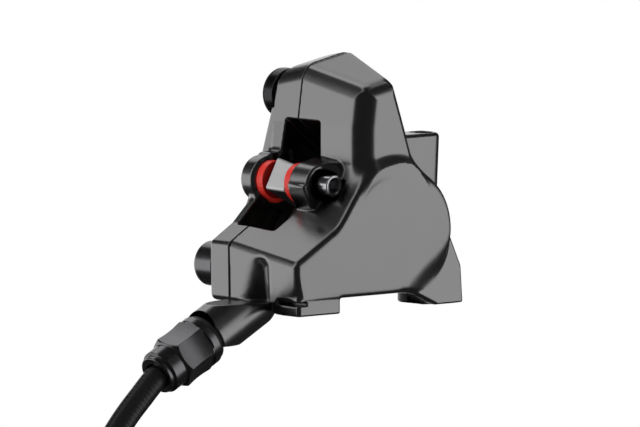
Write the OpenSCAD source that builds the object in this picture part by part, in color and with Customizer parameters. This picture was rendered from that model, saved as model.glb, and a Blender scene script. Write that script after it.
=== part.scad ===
// Flat-mount hydraulic disc brake caliper for a bicycle, with its hose.
// The body is two halves bolted together beside the rotor. Each half holds one piston, and
// two pads hang on one pin between them. Millimetres. The origin is midway between the two
// mounting holes, on the flat the caliper stands on. +X runs from the hose end to the rear
// foot, +Z is up and +Y points inboard, to the wheel. Most sub-parts are drawn in rotor
// coordinates: x, d, z, where d is the distance outboard of the rotor's middle plane.

/* [Mounting] */
// Distance between the two mounting holes
hole_spacing = 34; // [33:0.5:35]
// Distance from the rotor's middle plane to the mounting holes
hole_offset = 10.5; // [10:0.25:11.5]
// Radius of the mounting thread, M5
mount_thread_r = 2.5; // [2:0.1:2.8]
// Depth of the front mounting hole
front_hole_depth = 11.5; // [8:0.5:12]
// Depth of the rear mounting hole, which stops below the piston seal's groove
rear_hole_depth = 7.5; // [6:0.5:8]
// Depth of the blind hole in the rear boss's top
boss_hole_depth = 9; // [4:0.5:10]
// Radius of the rear boss
rear_boss_r = 4.6; // [4.2:0.1:5]
// Height of the rear boss
rear_boss_h = 34.1; // [30:0.1:38]
// Height of the two feet below the body's underside
foot_h = 2.8; // [1:0.1:3.4]

/* [Rotor and slot] */
// Radius of the rotor
rotor_r = 70; // [66:1:71]
// Thickness of the rotor
rotor_t = 1.8; // [1.5:0.1:2]
// Room between the rotor's edge and the bridges
rotor_edge_gap = 3; // [2:0.5:4]
// Width of the slot that the rotor's edge turns in
slot_w = 3; // [2.4:0.1:3.4]

/* [Pads] */
// Room between each lining and the rotor with new pads
pad_gap = 0.45; // [0.2:0.05:0.6]
// Thickness of the lining
lining_t = 2; // [1:0.1:2.2]
// Thickness of the steel back plate
plate_t = 1.75; // [1.4:0.05:1.9]
// Width of the pad's back plate
pad_w = 23.6; // [20:0.2:24]
// Distance from the piston's axis to the pad's straight edge, on the pin's side
pad_top = 10.2; // [9:0.2:10.6]
// Radius of the pad's round end, about the piston's axis
pad_round_r = 11.2; // [10.6:0.1:11.6]
// Radius of the ear that hangs on the pin
ear_r = 3.9; // [3.4:0.1:4.2]
// Room between the pad and its pocket
pad_clear = 0.35; // [0.2:0.05:0.6]

/* [Pin] */
// Radius of the pad pin's stem
pin_r = 1.6; // [1.4:0.05:1.8]
// Radial running clearance in the pad's ear
pin_clear = 0.08; // [0.03:0.01:0.1]
// Radius of the pin's hollow head
pin_head_r = 2.15; // [2:0.05:2.6]
// Radius of the counterbore in the near lug
pin_sink_r = 3.05; // [2.8:0.05:3.3]
// Outboard reach of the pin's head
pin_head_d = 14.3; // [13:0.1:15]
// Width across flats of the pin's hexagon socket
pin_hex = 2.5; // [2:0.5:3]

/* [Pistons] */
// Radius of each piston
piston_r = 10.5; // [9.5:0.25:10.75]
// Length of each piston
piston_l = 7.6; // [7:0.2:8]
// Radial clearance between piston and bore
piston_clear = 0.05; // [0.03:0.01:0.08]
// Radius of the hollow in the piston's face
piston_cup_r = 7.2; // [6:0.1:8]
// Depth of the hollow in the piston's face
piston_cup_depth = 4.6; // [3:0.2:5]
// Room behind the piston for the fluid
chamber_t = 1.2; // [0.8:0.1:1.6]
// Radial depth of the square seal's groove
seal_groove = 1.5; // [1:0.1:1.8]
// Width of the square seal
seal_w = 2.1; // [1.6:0.1:2.4]

/* [Body] */
// Height of the body's peak above the feet
body_h = 50.1; // [49:0.1:51]
// Reach of the front end ahead of the middle between the holes
front_reach = 23.8; // [23.4:0.1:24.2]
// Reach of the rear foot behind the middle between the holes
rear_reach = 22.2; // [21.8:0.1:23]
// Outboard reach of the bare round face
face_d = 19.6; // [19:0.1:21]
// Outboard reach of the tower's side
tower_d = 18; // [17:0.1:18.5]
// Radius of the corner between the tower's end and side
tower_corner_r = 2.7; // [1.5:0.1:3.5]
// Outer radius of the round piston housing
housing_r = 14.4; // [14:0.1:15]
// Rounding of the housing's outer edge
housing_edge_r = 2.4; // [1.5:0.1:3]
// Outboard slope of the tower's top, in degrees
crown_tilt_out = 8; // [5:0.2:12]
// Rise of the tower's top to the rear, in degrees
crown_tilt_back = 14; // [10:0.2:20]
// Thickness of the inboard half's plate
plate_half_t = 6.1; // [5.6:0.1:7]
// Inboard reach of the inboard piston housing
inner_face_d = 15.2; // [14.9:0.1:17]
// Outer radius of the inboard piston housing
inner_housing_r = 13; // [12.8:0.1:13.4]
// Radius of the lugs round the pin
lug_r = 4.8; // [4.4:0.1:5]

/* [Body bolts] */
// Radius of the body bolts' shank
bolt_r = 3; // [2.5:0.25:3]
// Radial clearance round the bolts' shanks
bolt_clear = 0.05; // [0.02:0.01:0.1]
// Radius of the lower bolt's head
lower_head_r = 4.55; // [4.2:0.05:5]
// Height of the lower bolt's head
lower_head_h = 5.8; // [4:0.1:6]
// Radius of the upper bolt's flange
upper_head_r = 5.1; // [4.8:0.05:5.5]
// Height of the upper bolt's head
upper_head_h = 4.5; // [4:0.1:6]
// Width across flats of the bolts' hexagon sockets
bolt_hex = 4; // [3:0.5:5]

/* [Hose fitting] */
// Fall of the hose port below the horizontal, in degrees
port_fall = 28; // [26:0.5:30]
// Radius of the neck that the hose screws into
neck_r = 5.4; // [5.2:0.1:5.6]
// Radius of the port's thread
port_thread_r = 3.5; // [3.3:0.1:3.7]
// Depth of the port's thread
port_depth = 6; // [5:0.5:7]
// Width across flats of the hose nut
nut_flats = 10; // [9:0.5:11]
// Length of the hose nut outside the neck
nut_l = 14.4; // [14:0.2:16]
// Radius of the hose nut's round end
nut_end_r = 4; // [3.8:0.1:4.3]

/* [Hose] */
// Diameter of the hose
hose_dia = 5; // [4.6:0.1:5.2]
// Turns in each layer of the stored coil
turns_per_layer = 2; // [2:1:2]
// Layers in the stored coil
coil_layers = 4; // [4:2:4]
// Spacing of the coil's turns and layers
coil_pitch = 5.6; // [5.6:0.1:6]
// Radius of the coil's outermost turn, to the hose's middle
coil_outer_r = 35.6; // [35:0.1:37]

/* [Hidden] */

$fn = 48;

// Colours
graphite = [0.47, 0.48, 0.49];
gloss_black = [0.05, 0.05, 0.06];
satin_black = [0.12, 0.12, 0.13];
pad_red = [0.80, 0.12, 0.09];
lining_brown = [0.25, 0.22, 0.19];
steel = [0.72, 0.73, 0.74];
brass = [0.72, 0.58, 0.28];

// Places of the main axes, as x and z
front_hole_x = -hole_spacing / 2;
rear_hole_x = hole_spacing / 2;
pin_x = -9.3;
pin_z = 25.1;
piston_x = 3.9;
piston_z = 14.8;
upper_bolt_x = 0.2;
upper_bolt_z = 41.5;
lower_bolt_x = -18.5;
lower_bolt_z = 8.3;
upper_bolt_end = 8.4;
lower_bolt_end = 2.8;
crossover_x = 6.6;
crossover_z = 43.4;
tower_x = -5.3;
peak_x = 8.2;

// The pad's own direction, from the pin to the piston
pad_reach = norm([piston_x - pin_x, piston_z - pin_z]);
pad_fall = atan2(pin_z - piston_z, piston_x - pin_x);
rotor_reach = 58.5;
rotor_x = piston_x + rotor_reach * cos(pad_fall);
rotor_z = piston_z - rotor_reach * sin(pad_fall);
slot_r = rotor_r + rotor_edge_gap;
seam_d = -slot_w / 2;

// Pad stack, measured from the rotor's middle plane
lining_in = rotor_t / 2 + pad_gap;
lining_out = lining_in + lining_t;
plate_out = lining_out + plate_t;
pocket_d = plate_out + 0.15;
pocket_half_w = pad_w / 2 + pad_clear;

// Piston bores
bore_r = piston_r + piston_clear;
bore_end_d = plate_out + piston_l + chamber_t;
seal_d = plate_out + 2.6;
inner_plate_d = seam_d - plate_half_t;
upper_seat_d = inner_plate_d - 1.7;

// Underside of the body between the feet
under_z = foot_h;

// Hose port: a point on its axis at the neck's mouth, and its distance from the rotor
mouth_x = -34.7;
mouth_z = -4.3;
port_d = 4.2;
port_groove = 0.8;
neck_root = -14;
neck_top_z = 2.1;
seat_depth = 2.4;
passage_r = 0.9;
passage_turn = -27;

// Bleed screw: where its seat is, and the way it points, as x, d and z
bleed_base = [13.2, -4.7, 40.3];
bleed_way = [cos(19), 0, sin(19)];
bleed_r = 2.5;
bleed_seat_r = 3.1;

// Side of the blocks that cut away everything beyond a plane
cutter = 100;

hose_r = hose_dia / 2;
hose_start = -port_depth - seat_depth + 0.5;

// The free stretch of the hose: x and z of the points it follows, from inside the fitting
// down to the coil, all at the port's own distance from the rotor
hose_route = [
    [-47.6, -11.6], [-51.3, -14.9], [-55.2, -18.6], [-59.1, -23.1], [-62.7, -28.6],
    [-65.6, -35.2], [-67.6, -42.6], [-68.7, -50.2], [-69, -56.5]
];
coil_z = -66;

function along_port(s) = [mouth_x - s * cos(port_fall), port_d, mouth_z - s * sin(port_fall)];

// Turns rotor coordinates into the part's own frame
module from_rotor() {
    translate([0, hole_offset, 0])
        mirror([0, 1, 0])
            children();
}

// A flat drawing in x and z, given a thickness from d0 out to d1
module slab(d0, d1) {
    translate([0, d1, 0])
        rotate([90, 0, 0])
            linear_extrude(d1 - d0)
                children();
}

// A round bar along d
module bar(x, z, d0, d1, r) {
    translate([x, d1, z])
        rotate([90, 0, 0])
            cylinder(h = d1 - d0, r = r);
}

// A cone along d
module taper(x, z, d0, d1, r0, r1) {
    translate([x, d1, z])
        rotate([90, 0, 0])
            cylinder(h = d1 - d0, r1 = r1, r2 = r0);
}

// A hexagon bar along d, across its flats
module hex_bar(x, z, d0, d1, flats) {
    translate([x, d1, z])
        rotate([90, 0, 0])
            cylinder(h = d1 - d0, r = flats / 2 / cos(30), $fn = 6);
}

// A round bar between two points
module link(p, q, r) {
    v = q - p;
    translate(p)
        rotate([0, acos(v[2] / norm(v)), atan2(v[1], v[0])])
            cylinder(h = norm(v), r = r);
}

// A turned shape along d: its drawing is in radius and distance
module turned(x, z) {
    translate([x, 0, z])
        rotate([-90, 0, 0])
            rotate_extrude()
                children();
}

// Places things along the hose port, with their own z pointing out of the neck
module on_port(s = 0) {
    translate(along_port(s))
        rotate([0, -90 - port_fall, 0])
            children();
}

// A flat drawing in the pad's own directions: x from the pin to the piston, y across
module pad_frame() {
    translate([pin_x, pin_z])
        rotate(-pad_fall)
            children();
}

// Outlines, in x and z

// The end that is seen, with the slot's plane, and the tower's back
module tower_outline() {
    polygon([
        [tower_x, 21], [tower_x, body_h - 8.9], [tower_x + 2.2, body_h - 2.85], [peak_x, body_h],
        [peak_x + 3.1, body_h - 6.6], [15.4, 35], [15.4, 24], [5, 19]
    ]);
}

module shelf_outline() {
    polygon([
        [0.4 - front_reach, 1.6], [-front_reach, 11], [0.8 - front_reach, 13.2], [-12.2, 20.2],
        [tower_x, 24.3], [8, 24.3], [8, under_z], [-11.3, under_z], [-11.3, 1.6]
    ]);
}

module inner_outline() {
    polygon([
        [0.4 - front_reach, 1.6], [-front_reach, 11], [0.8 - front_reach, 13.2], [-18.1, 16.3],
        [-13.6, 20.9], [tower_x - 1.5, 28.9], [tower_x, 36.5], [tower_x + 1.1, body_h - 5.7],
        [tower_x + 1.5, body_h - 2.7], [peak_x, body_h], [peak_x + 3.7, body_h - 6.6],
        [14.4, 35], [16.9, 17], [15, 7], [10, under_z], [-14, under_z], [-14.6, 1.6]
    ]);
}

// Body halves

module tower() {
    corner = tower_corner_r;
    intersection() {
        slab(seam_d, tower_d)
            tower_outline();
        linear_extrude(body_h + 10)
            union() {
                polygon([
                    [tower_x, seam_d], [tower_x, tower_d - corner], [tower_x + corner, tower_d],
                    [7.8, tower_d], [15.4, seam_d]
                ]);
                translate([tower_x + corner, tower_d - corner])
                    circle(corner);
            }
        translate([peak_x, seam_d, body_h])
            rotate([-crown_tilt_out, -crown_tilt_back, 0])
                translate([-cutter / 2, -cutter / 2, -cutter])
                    cube(cutter);
        hull() {
            slab(seam_d - 1, seam_d)
                polygon([
                    [-20, 0], [-20, body_h + 9.9], [3.2, body_h + 9.9], [15.4, 35], [24, 0]
                ]);
            slab(tower_d, tower_d + 1)
                polygon([
                    [-20, 0], [-20, body_h + 9.9], [-4.6, body_h + 9.9], [7.6, 35], [18, 0]
                ]);
        }
    }
}

module front_end() {
    intersection() {
        slab(seam_d, face_d - housing_edge_r)
            shelf_outline();
        translate([0, 0, -5])
            linear_extrude(40)
                polygon([
                    [-front_reach - 0.3, seam_d - 1], [-front_reach - 0.3, 6.6],
                    [1 - front_reach, 8.6], [0.4 - front_reach, 10.8],
                    [0.2 - front_reach, face_d - housing_edge_r + 1],
                    [12, face_d - housing_edge_r + 1], [12, seam_d - 1]
                ]);
    }
}

module scoop() {
    hull() {
        translate([-1.3 - front_reach, 4.9, -6.1])
            sphere(3.9, $fn = 32);
        translate([-1.1 - front_reach, 6.7, 10.3])
            sphere(2.7, $fn = 32);
    }
}

module bare_face() {
    edge = housing_edge_r;
    hull() {
        slab(face_d - edge - 3, face_d - edge)
            polygon([
                [0.2 - front_reach, under_z], [0.2 - front_reach, 11.4], [-5.3, 22.1], [4, 27],
                [12, 14], [4, under_z]
            ]);
        slab(face_d - 0.1, face_d)
            polygon([
                [2.6 - front_reach, 5], [1.6 - front_reach, 10.3], [-4, 20.6], [4, 25], [10, 14],
                [4, under_z + 1.6], [3.8 - front_reach, under_z + 1.6]
            ]);
    }
}

module outboard_housing() {
    edge = housing_edge_r;
    intersection() {
        turned(piston_x, piston_z)
            union() {
                translate([0, -seam_d])
                    square([housing_r, face_d - edge + seam_d]);
                square([housing_r - edge, face_d]);
                translate([housing_r - edge, face_d - edge])
                    circle(edge);
            }
        slab(seam_d, face_d)
            polygon([
                [-30, under_z], [30, under_z], [30, 40], [-2.6, 40], [-2.6, 23.6],
                [-12.2, 17.4], [-30, 10]
            ]);
    }
}

module rear_foot() {
    left = rear_hole_x - 3;
    hull() {
        translate([left, 7.6, 0])
            cube([rear_reach - left, 10.1, 3]);
        translate([left, 5.3, 1.6])
            cube([rear_reach - left, 12.4, 4]);
        translate([rear_hole_x - 2, hole_offset - 3.5, 13])
            cube([4.4, 9.5, 4]);
    }
}

// The boss behind the tower: round under the body, and above it flat on the outboard side
module rear_boss() {
    corner = 3;
    side = 3.4;
    right = rear_hole_x + rear_boss_r - 1;
    translate([rear_hole_x, hole_offset, 0])
        cylinder(h = under_z + 2, r = rear_boss_r);
    translate([0, 0, under_z])
        linear_extrude(rear_boss_h - under_z)
            union() {
                translate([6, hole_offset - side])
                    square([right - corner - 6, 2 * side]);
                translate([6, hole_offset - side])
                    square([right - 6, 2 * side - corner]);
                translate([right - corner, hole_offset + side - corner])
                    circle(corner);
            }
}

module front_foot() {
    translate([-17, 13.1, 0])
        intersection() {
            translate([-5.4, -6.2, 0])
                cube([11.1, 12.4, 8]);
            cylinder(h = 8, r = 7.6);
        }
    translate([-17, 9.6, 0])
        cube([5.7, 9.8, 8]);
}

module near_lug() {
    bar(pin_x, pin_z, pocket_d, hole_offset, lug_r);
    slab(pocket_d, hole_offset)
        polygon([
            [pin_x - 1, pin_z + lug_r], [-4, pin_z + lug_r + 0.4], [-4, pin_z - lug_r],
            [pin_x - 1, pin_z - lug_r]
        ]);
    slab(pocket_d, 12.7)
        polygon([
            [pin_x + 1.2, pin_z + lug_r - 0.2], [-4, pin_z + lug_r + 0.1], [-4, pin_z - lug_r - 0.8],
            [pin_x + 1.2, pin_z - lug_r - 0.8]
        ]);
}

// The neck under the front end, cut level where it would meet the flange above it
module neck() {
    intersection() {
        on_port(neck_root)
            rotate_extrude()
                union() {
                    square([neck_r, -neck_root]);
                    intersection() {
                        circle(neck_r);
                        translate([0, -neck_r])
                            square(neck_r);
                    }
                }
        translate([-50, -5, -20])
            cube([40, 20, 20 + neck_top_z]);
    }
}

module pad_pocket(d0, d1) {
    slab(d0, d1)
        pad_frame() {
            translate([-30, -pocket_half_w])
                square([30 + pad_reach, 2 * pocket_half_w]);
            translate([pad_reach, 0])
                circle(pocket_half_w);
        }
}

module outboard_bores() {
    bar(piston_x, piston_z, pocket_d - 1, bore_end_d, bore_r);
    bar(piston_x, piston_z, seal_d, seal_d + seal_w, piston_r + seal_groove);
    bar(pin_x, pin_z, 0, 20, pin_r + 0.1);
    bar(pin_x, pin_z, 8.2, pin_head_d, pin_sink_r);
    bar(upper_bolt_x, upper_bolt_z, seam_d - 1, upper_bolt_end + 0.6, bolt_r + bolt_clear);
    bar(lower_bolt_x, lower_bolt_z, seam_d - 1, lower_bolt_end + 0.3, bolt_r + bolt_clear);
    translate([front_hole_x, hole_offset, -1])
        cylinder(h = front_hole_depth + 1, r = mount_thread_r);
    translate([rear_hole_x, hole_offset, -1])
        cylinder(h = rear_hole_depth + 1, r = mount_thread_r);
    translate([rear_hole_x, hole_offset, rear_boss_h - boss_hole_depth])
        cylinder(h = boss_hole_depth + 1, r = mount_thread_r - 0.2);
}

module port_bores() {
    turn = along_port(passage_turn);
    behind_piston = bore_end_d - chamber_t / 2;
    on_port(-port_depth)
        cylinder(h = port_depth + 1, r = port_thread_r + 0.1);
    on_port(-port_depth - seat_depth)
        cylinder(h = seat_depth + 0.1, r = hose_r + 0.5);
    link(along_port(-port_depth - seat_depth + 0.5), turn, passage_r);
    bar(turn[0], turn[2], port_d - passage_r, behind_piston + passage_r, passage_r);
    link([turn[0], behind_piston, turn[2]], [piston_x - 7, behind_piston, piston_z - 4], passage_r);
    bar(crossover_x, crossover_z, seam_d - 1, 8, passage_r);
    link([crossover_x, 7.6, crossover_z], [piston_x, behind_piston, piston_z + 9], passage_r);
}

module on_bleed(s = 0) {
    translate(bleed_base + s * bleed_way)
        rotate([0, acos(bleed_way[2]), 0])
            children();
}

module bleed_bores() {
    thread_l = 6;
    on_bleed(-thread_l)
        cylinder(h = 2 * thread_l, r = bleed_r + 0.05);
    link(bleed_base - (thread_l - 1) * bleed_way, [crossover_x, bleed_base[1], crossover_z],
         passage_r);
}

module outboard_body() {
    color(graphite)
        from_rotor()
            difference() {
                union() {
                    difference() {
                        union() {
                            tower();
                            front_end();
                            bare_face();
                            outboard_housing();
                            rear_foot();
                            rear_boss();
                            front_foot();
                        }
                        scoop();
                        pad_pocket(seam_d - 1, pocket_d);
                        bar(rotor_x, rotor_z, seam_d - 1, slot_w / 2, slot_r);
                    }
                    near_lug();
                    neck();
                }
                outboard_bores();
                port_bores();
            }
}

module inner_shoulder() {
    hull() {
        slab(upper_seat_d, inner_plate_d + 1)
            polygon([[-5.8, 26], [-5.2, 41], [-3.8, 45.4], [8.6, 45.4], [13.4, 26]]);
        slab(-12.4, -12)
            polygon([[-5.8, 26], [-5.6, 29.5], [10, 29.5], [12.5, 26]]);
    }
}

module far_lug() {
    bar(pin_x, pin_z, -9.4, -pocket_d, lug_r - 0.1);
    slab(-9.4, -pocket_d)
        polygon([
            [pin_x - 1, pin_z + lug_r - 0.1], [-4, pin_z + 5.5], [-4, pin_z - 5],
            [pin_x + 2, pin_z - lug_r]
        ]);
}

module inner_housing() {
    edge = 2;
    turned(piston_x, piston_z)
        union() {
            translate([0, -inner_face_d + edge])
                square([inner_housing_r, inner_face_d - edge + seam_d]);
            translate([0, -inner_face_d])
                square([inner_housing_r - edge, inner_face_d + seam_d]);
            translate([inner_housing_r - edge, -inner_face_d + edge])
                circle(edge);
        }
}

module inboard_body() {
    color(graphite)
        from_rotor()
            difference() {
                union() {
                    difference() {
                        union() {
                            intersection() {
                                slab(inner_plate_d, seam_d)
                                    inner_outline();
                                translate([-cutter / 2, seam_d, body_h])
                                    rotate([20, 0, 0])
                                        translate([0, -cutter / 2, -cutter])
                                            cube(cutter);
                            }
                            inner_shoulder();
                            inner_housing();
                            link([crossover_x, -6, crossover_z], [piston_x + 1, -11.4, 26], 3);
                            link(bleed_base - 4 * bleed_way, bleed_base, bleed_seat_r);
                        }
                        pad_pocket(-pocket_d, seam_d + 1);
                    }
                    far_lug();
                }
                bar(piston_x, piston_z, -bore_end_d, -pocket_d + 1, bore_r);
                bar(piston_x, piston_z, -seal_d - seal_w, -seal_d, piston_r + seal_groove);
                bar(pin_x, pin_z, -20, 0, pin_r + 0.1);
                bar(upper_bolt_x, upper_bolt_z, -20, upper_seat_d, upper_head_r + 0.4);
                bar(upper_bolt_x, upper_bolt_z, -20, seam_d + 1, bolt_r + bolt_clear);
                bar(lower_bolt_x, lower_bolt_z, -20, seam_d + 1, bolt_r + bolt_clear);
                bar(crossover_x, crossover_z, -6.4, seam_d + 1, passage_r);
                bar(crossover_x, crossover_z, seam_d - 1.2, seam_d + 1, 2.5);
                link([crossover_x, -6, crossover_z],
                     [piston_x + 0.6, -bore_end_d + 0.7, piston_z + 9], passage_r);
                bleed_bores();
            }
}

// Fasteners and seals of the body

module upper_body_bolt() {
    head_d = upper_seat_d - upper_head_h;
    color(satin_black)
        from_rotor()
            difference() {
                union() {
                    bar(upper_bolt_x, upper_bolt_z, upper_seat_d, upper_bolt_end, bolt_r);
                    bar(upper_bolt_x, upper_bolt_z, head_d + 0.7, upper_seat_d, upper_head_r);
                    taper(upper_bolt_x, upper_bolt_z, head_d, head_d + 0.7, upper_head_r - 0.7,
                          upper_head_r);
                }
                hex_bar(upper_bolt_x, upper_bolt_z, head_d - 1, head_d + 3, bolt_hex);
            }
}

module lower_body_bolt() {
    head_d = inner_plate_d - lower_head_h;
    color(satin_black)
        from_rotor()
            difference() {
                union() {
                    bar(lower_bolt_x, lower_bolt_z, inner_plate_d, lower_bolt_end, bolt_r);
                    bar(lower_bolt_x, lower_bolt_z, head_d + 0.6, inner_plate_d, lower_head_r);
                    taper(lower_bolt_x, lower_bolt_z, head_d, head_d + 0.6, lower_head_r - 0.6,
                          lower_head_r);
                }
                hex_bar(lower_bolt_x, lower_bolt_z, head_d - 1, head_d + 3, bolt_hex);
            }
}

module crossover_seal() {
    color(gloss_black)
        from_rotor()
            difference() {
                bar(crossover_x, crossover_z, seam_d - 1.2, seam_d, 2.45);
                bar(crossover_x, crossover_z, seam_d - 2, seam_d + 1, 1.2);
            }
}

module square_seal(d0) {
    difference() {
        bar(piston_x, piston_z, d0 + 0.03, d0 + seal_w - 0.03, piston_r + seal_groove - 0.03);
        bar(piston_x, piston_z, d0 - 1, d0 + seal_w + 1, bore_r);
    }
}

module outboard_piston_seal() {
    color(gloss_black)
        from_rotor()
            square_seal(seal_d);
}

module inboard_piston_seal() {
    color(gloss_black)
        from_rotor()
            square_seal(-seal_d - seal_w);
}

module bleed_screw() {
    color(satin_black)
        from_rotor()
            difference() {
                union() {
                    on_bleed(-5.4)
                        cylinder(h = 5.2, r = bleed_r);
                    on_bleed(-1)
                        cylinder(h = 2, r = bleed_r - 0.4);
                    on_bleed(0.6)
                        cylinder(h = 1.6, r = bleed_seat_r - 0.1);
                }
                on_bleed(-0.6)
                    cylinder(h = 4, r = 1.5 / cos(30), $fn = 6);
            }
}

module bleed_screw_seal() {
    color(gloss_black)
        from_rotor()
            on_bleed(0.02)
                difference() {
                    cylinder(h = 0.56, r = bleed_seat_r - 0.15);
                    translate([0, 0, -1])
                        cylinder(h = 3, r = bleed_r - 0.35);
                }
}

// Pistons, drawn with the open face towards the rotor

module piston() {
    difference() {
        bar(piston_x, piston_z, plate_out, plate_out + piston_l, piston_r);
        bar(piston_x, piston_z, plate_out - 1, plate_out + piston_cup_depth, piston_cup_r);
    }
}

module outboard_piston() {
    color(steel)
        from_rotor()
            piston();
}

module inboard_piston() {
    color(steel)
        from_rotor()
            mirror([0, 1, 0])
                piston();
}

// Pads: a plate with an ear on the pin, and a lining bonded to it

pad_corner_r = 5;
module pad_outline(inset) {
    edge_x = pad_reach - pad_top + inset;
    intersection() {
        hull() {
            translate([pad_reach, 0])
                circle(pad_round_r - inset, $fn = 64);
            for (side = [-1, 1]) {
                translate([edge_x + pad_corner_r, side * (pad_w / 2 - inset - pad_corner_r)])
                    circle(pad_corner_r, $fn = 32);
            }
        }
        translate([edge_x, -pad_w])
            square(2 * pad_w);
    }
}

module plate_shape() {
    pad_frame() {
        pad_outline(0);
        hull() {
            circle(ear_r, $fn = 32);
            translate([pad_reach - pad_top + 1, 0])
                circle(3.6, $fn = 32);
        }
    }
}

module pad_plate() {
    difference() {
        slab(lining_out, plate_out)
            plate_shape();
        bar(pin_x, pin_z, 0, 20, pin_r + pin_clear);
    }
}

module pad_lining() {
    slab(lining_in, lining_out)
        pad_frame()
            pad_outline(0.8);
}

module outboard_pad_plate() {
    color(pad_red)
        from_rotor()
            pad_plate();
}

module outboard_pad_lining() {
    color(lining_brown)
        from_rotor()
            pad_lining();
}

module inboard_pad_plate() {
    color(pad_red)
        from_rotor()
            mirror([0, 1, 0])
                pad_plate();
}

module inboard_pad_lining() {
    color(lining_brown)
        from_rotor()
            mirror([0, 1, 0])
                pad_lining();
}

// A bent strip hooked over the pin between the pads, with one narrow tail beside the rotor

spring_t = 0.4;
spring_half_w = 2.4;
spring_top = [[-4.4, 27.3], [-8.1, 29.7], [-9.6, 29], [-12.7, 23.8]];
spring_tail = [[-12.7, 23.8], [-8.1, 19.8], [-5.9, 18.1]];

module spring_outline(route) {
    for (i = [0:len(route) - 2]) {
        hull() {
            translate(route[i])
                circle(spring_t / 2, $fn = 16);
            translate(route[i + 1])
                circle(spring_t / 2, $fn = 16);
        }
    }
}

module pad_spring() {
    half = spring_half_w;
    color(steel)
        from_rotor() {
            slab(-half, half)
                spring_outline(spring_top);
            intersection() {
                slab(-half, half)
                    spring_outline(spring_tail);
                linear_extrude(2 * pin_z)
                    polygon([
                        [-13.5, -half], [-12.3, -half], [-8.3, 1.3], [-5, 1.3], [-5, half],
                        [-13.5, half]
                    ]);
            }
        }
}

// The pin, with its ring and clip

module pad_pin() {
    tip_d = -10.9;
    color(gloss_black)
        from_rotor()
            difference() {
                union() {
                    bar(pin_x, pin_z, tip_d, 9, pin_r);
                    bar(pin_x, pin_z, 8.25, pin_head_d, pin_head_r);
                    taper(pin_x, pin_z, 8.25, 9.6, 2.9, pin_head_r);
                }
                hex_bar(pin_x, pin_z, pin_head_d - 3.2, pin_head_d + 1, pin_hex);
                difference() {
                    bar(pin_x, pin_z, -10.35, -9.85, 2 * pin_r);
                    bar(pin_x, pin_z, -12, -8, 1.2);
                }
                difference() {
                    bar(pin_x, pin_z, 5.5, 6.3, 4);
                    bar(pin_x, pin_z, 5, 7, 1.25);
                }
            }
}

module pad_pin_ring() {
    color(gloss_black)
        from_rotor()
            difference() {
                bar(pin_x, pin_z, 5.55, 6.25, pin_r + 0.06);
                bar(pin_x, pin_z, 5, 7, 1.28);
            }
}

module pad_pin_clip() {
    clip_d = -9.9;
    clip_t = 0.4;
    color(steel)
        from_rotor()
            difference() {
                bar(pin_x, pin_z, clip_d - clip_t, clip_d, 3.1);
                bar(pin_x, pin_z, clip_d - 1, clip_d + 1, 1.23);
                slab(clip_d - 1, clip_d + 1)
                    translate([pin_x - 5, pin_z - 0.95])
                        square([5, 1.9]);
            }
}

// Hose fitting, from the seal on the neck's mouth to the barb inside the hose

module hose_port_seal() {
    color(gloss_black)
        from_rotor()
            on_port(0)
                difference() {
                    cylinder(h = port_groove, r = neck_r - 0.4);
                    translate([0, 0, -1])
                        cylinder(h = 3, r = port_thread_r + 0.05);
                }
}

module hose_nut() {
    hex_start = 2.5;
    hex_end = 10.2;
    hex_r = nut_flats / 2 / cos(30);
    waist_r = 4.6;
    hex_twist = 48.4;
    color(satin_black)
        from_rotor()
            on_port(0)
                difference() {
                    union() {
                        translate([0, 0, -port_depth + 0.4])
                            cylinder(h = port_depth + 1, r = port_thread_r);
                        translate([0, 0, port_groove])
                            cylinder(h = hex_start - port_groove + 0.5, r = neck_r);
                        intersection() {
                            translate([0, 0, hex_start])
                                rotate(hex_twist)
                                    cylinder(h = hex_end - hex_start, r = hex_r, $fn = 6);
                            translate([0, 0, hex_start])
                                cylinder(h = 20, r1 = neck_r - 0.2, r2 = neck_r + 20);
                            translate([0, 0, hex_end - 20])
                                cylinder(h = 20, r1 = waist_r + 20, r2 = waist_r + 0.2);
                        }
                        translate([0, 0, hex_end - 0.5])
                            cylinder(h = nut_l - hex_end - 0.8, r = waist_r);
                        translate([0, 0, nut_l - 1.4])
                            cylinder(h = 0.4, r1 = waist_r, r2 = nut_end_r);
                        translate([0, 0, nut_l - 1.2])
                            cylinder(h = 1.2, r = nut_end_r);
                    }
                    translate([0, 0, -port_depth])
                        cylinder(h = port_depth + nut_l + 2, r = hose_r + 0.15);
                    translate([0, 0, nut_l - 6])
                        cylinder(h = 6.1, r1 = hose_r + 0.15, r2 = hose_r + 0.85);
                }
}

module olive_shape() {
    rotate_extrude()
        polygon([
            [hose_r + 0.06, -0.9], [hose_r + 0.2, -0.9], [hose_r + 0.42, -0.2],
            [hose_r + 0.42, 0.2], [hose_r + 0.2, 0.9], [hose_r + 0.06, 0.9]
        ]);
}

module insert_shape(barb_l) {
    difference() {
        union() {
            cylinder(h = barb_l, r = 1.15);
            translate([0, 0, -0.5])
                cylinder(h = 0.5, r = hose_r - 0.2);
        }
        translate([0, 0, -1])
            cylinder(h = barb_l + 2, r = 0.6);
    }
}

module hose_olive() {
    color(brass)
        from_rotor()
            on_port(-port_depth - 0.7)
                olive_shape();
}

module hose_insert() {
    color(brass)
        from_rotor()
            on_port(hose_start)
                insert_shape(8);
}

// The hose: a tube swept along its own points

function unit(v) = v / norm(v);
function way(p, i) = unit(p[min(i + 1, len(p) - 1)] - p[max(i - 1, 0)]);
function ring_at(centre, ahead, r, sides) =
    let (across = unit(cross([0, 1, 0], ahead)), up = cross(ahead, across))
    [for (k = [0:sides - 1]) centre + r * (cos(360 * k / sides) * across + sin(360 * k / sides) * up)];

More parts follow.
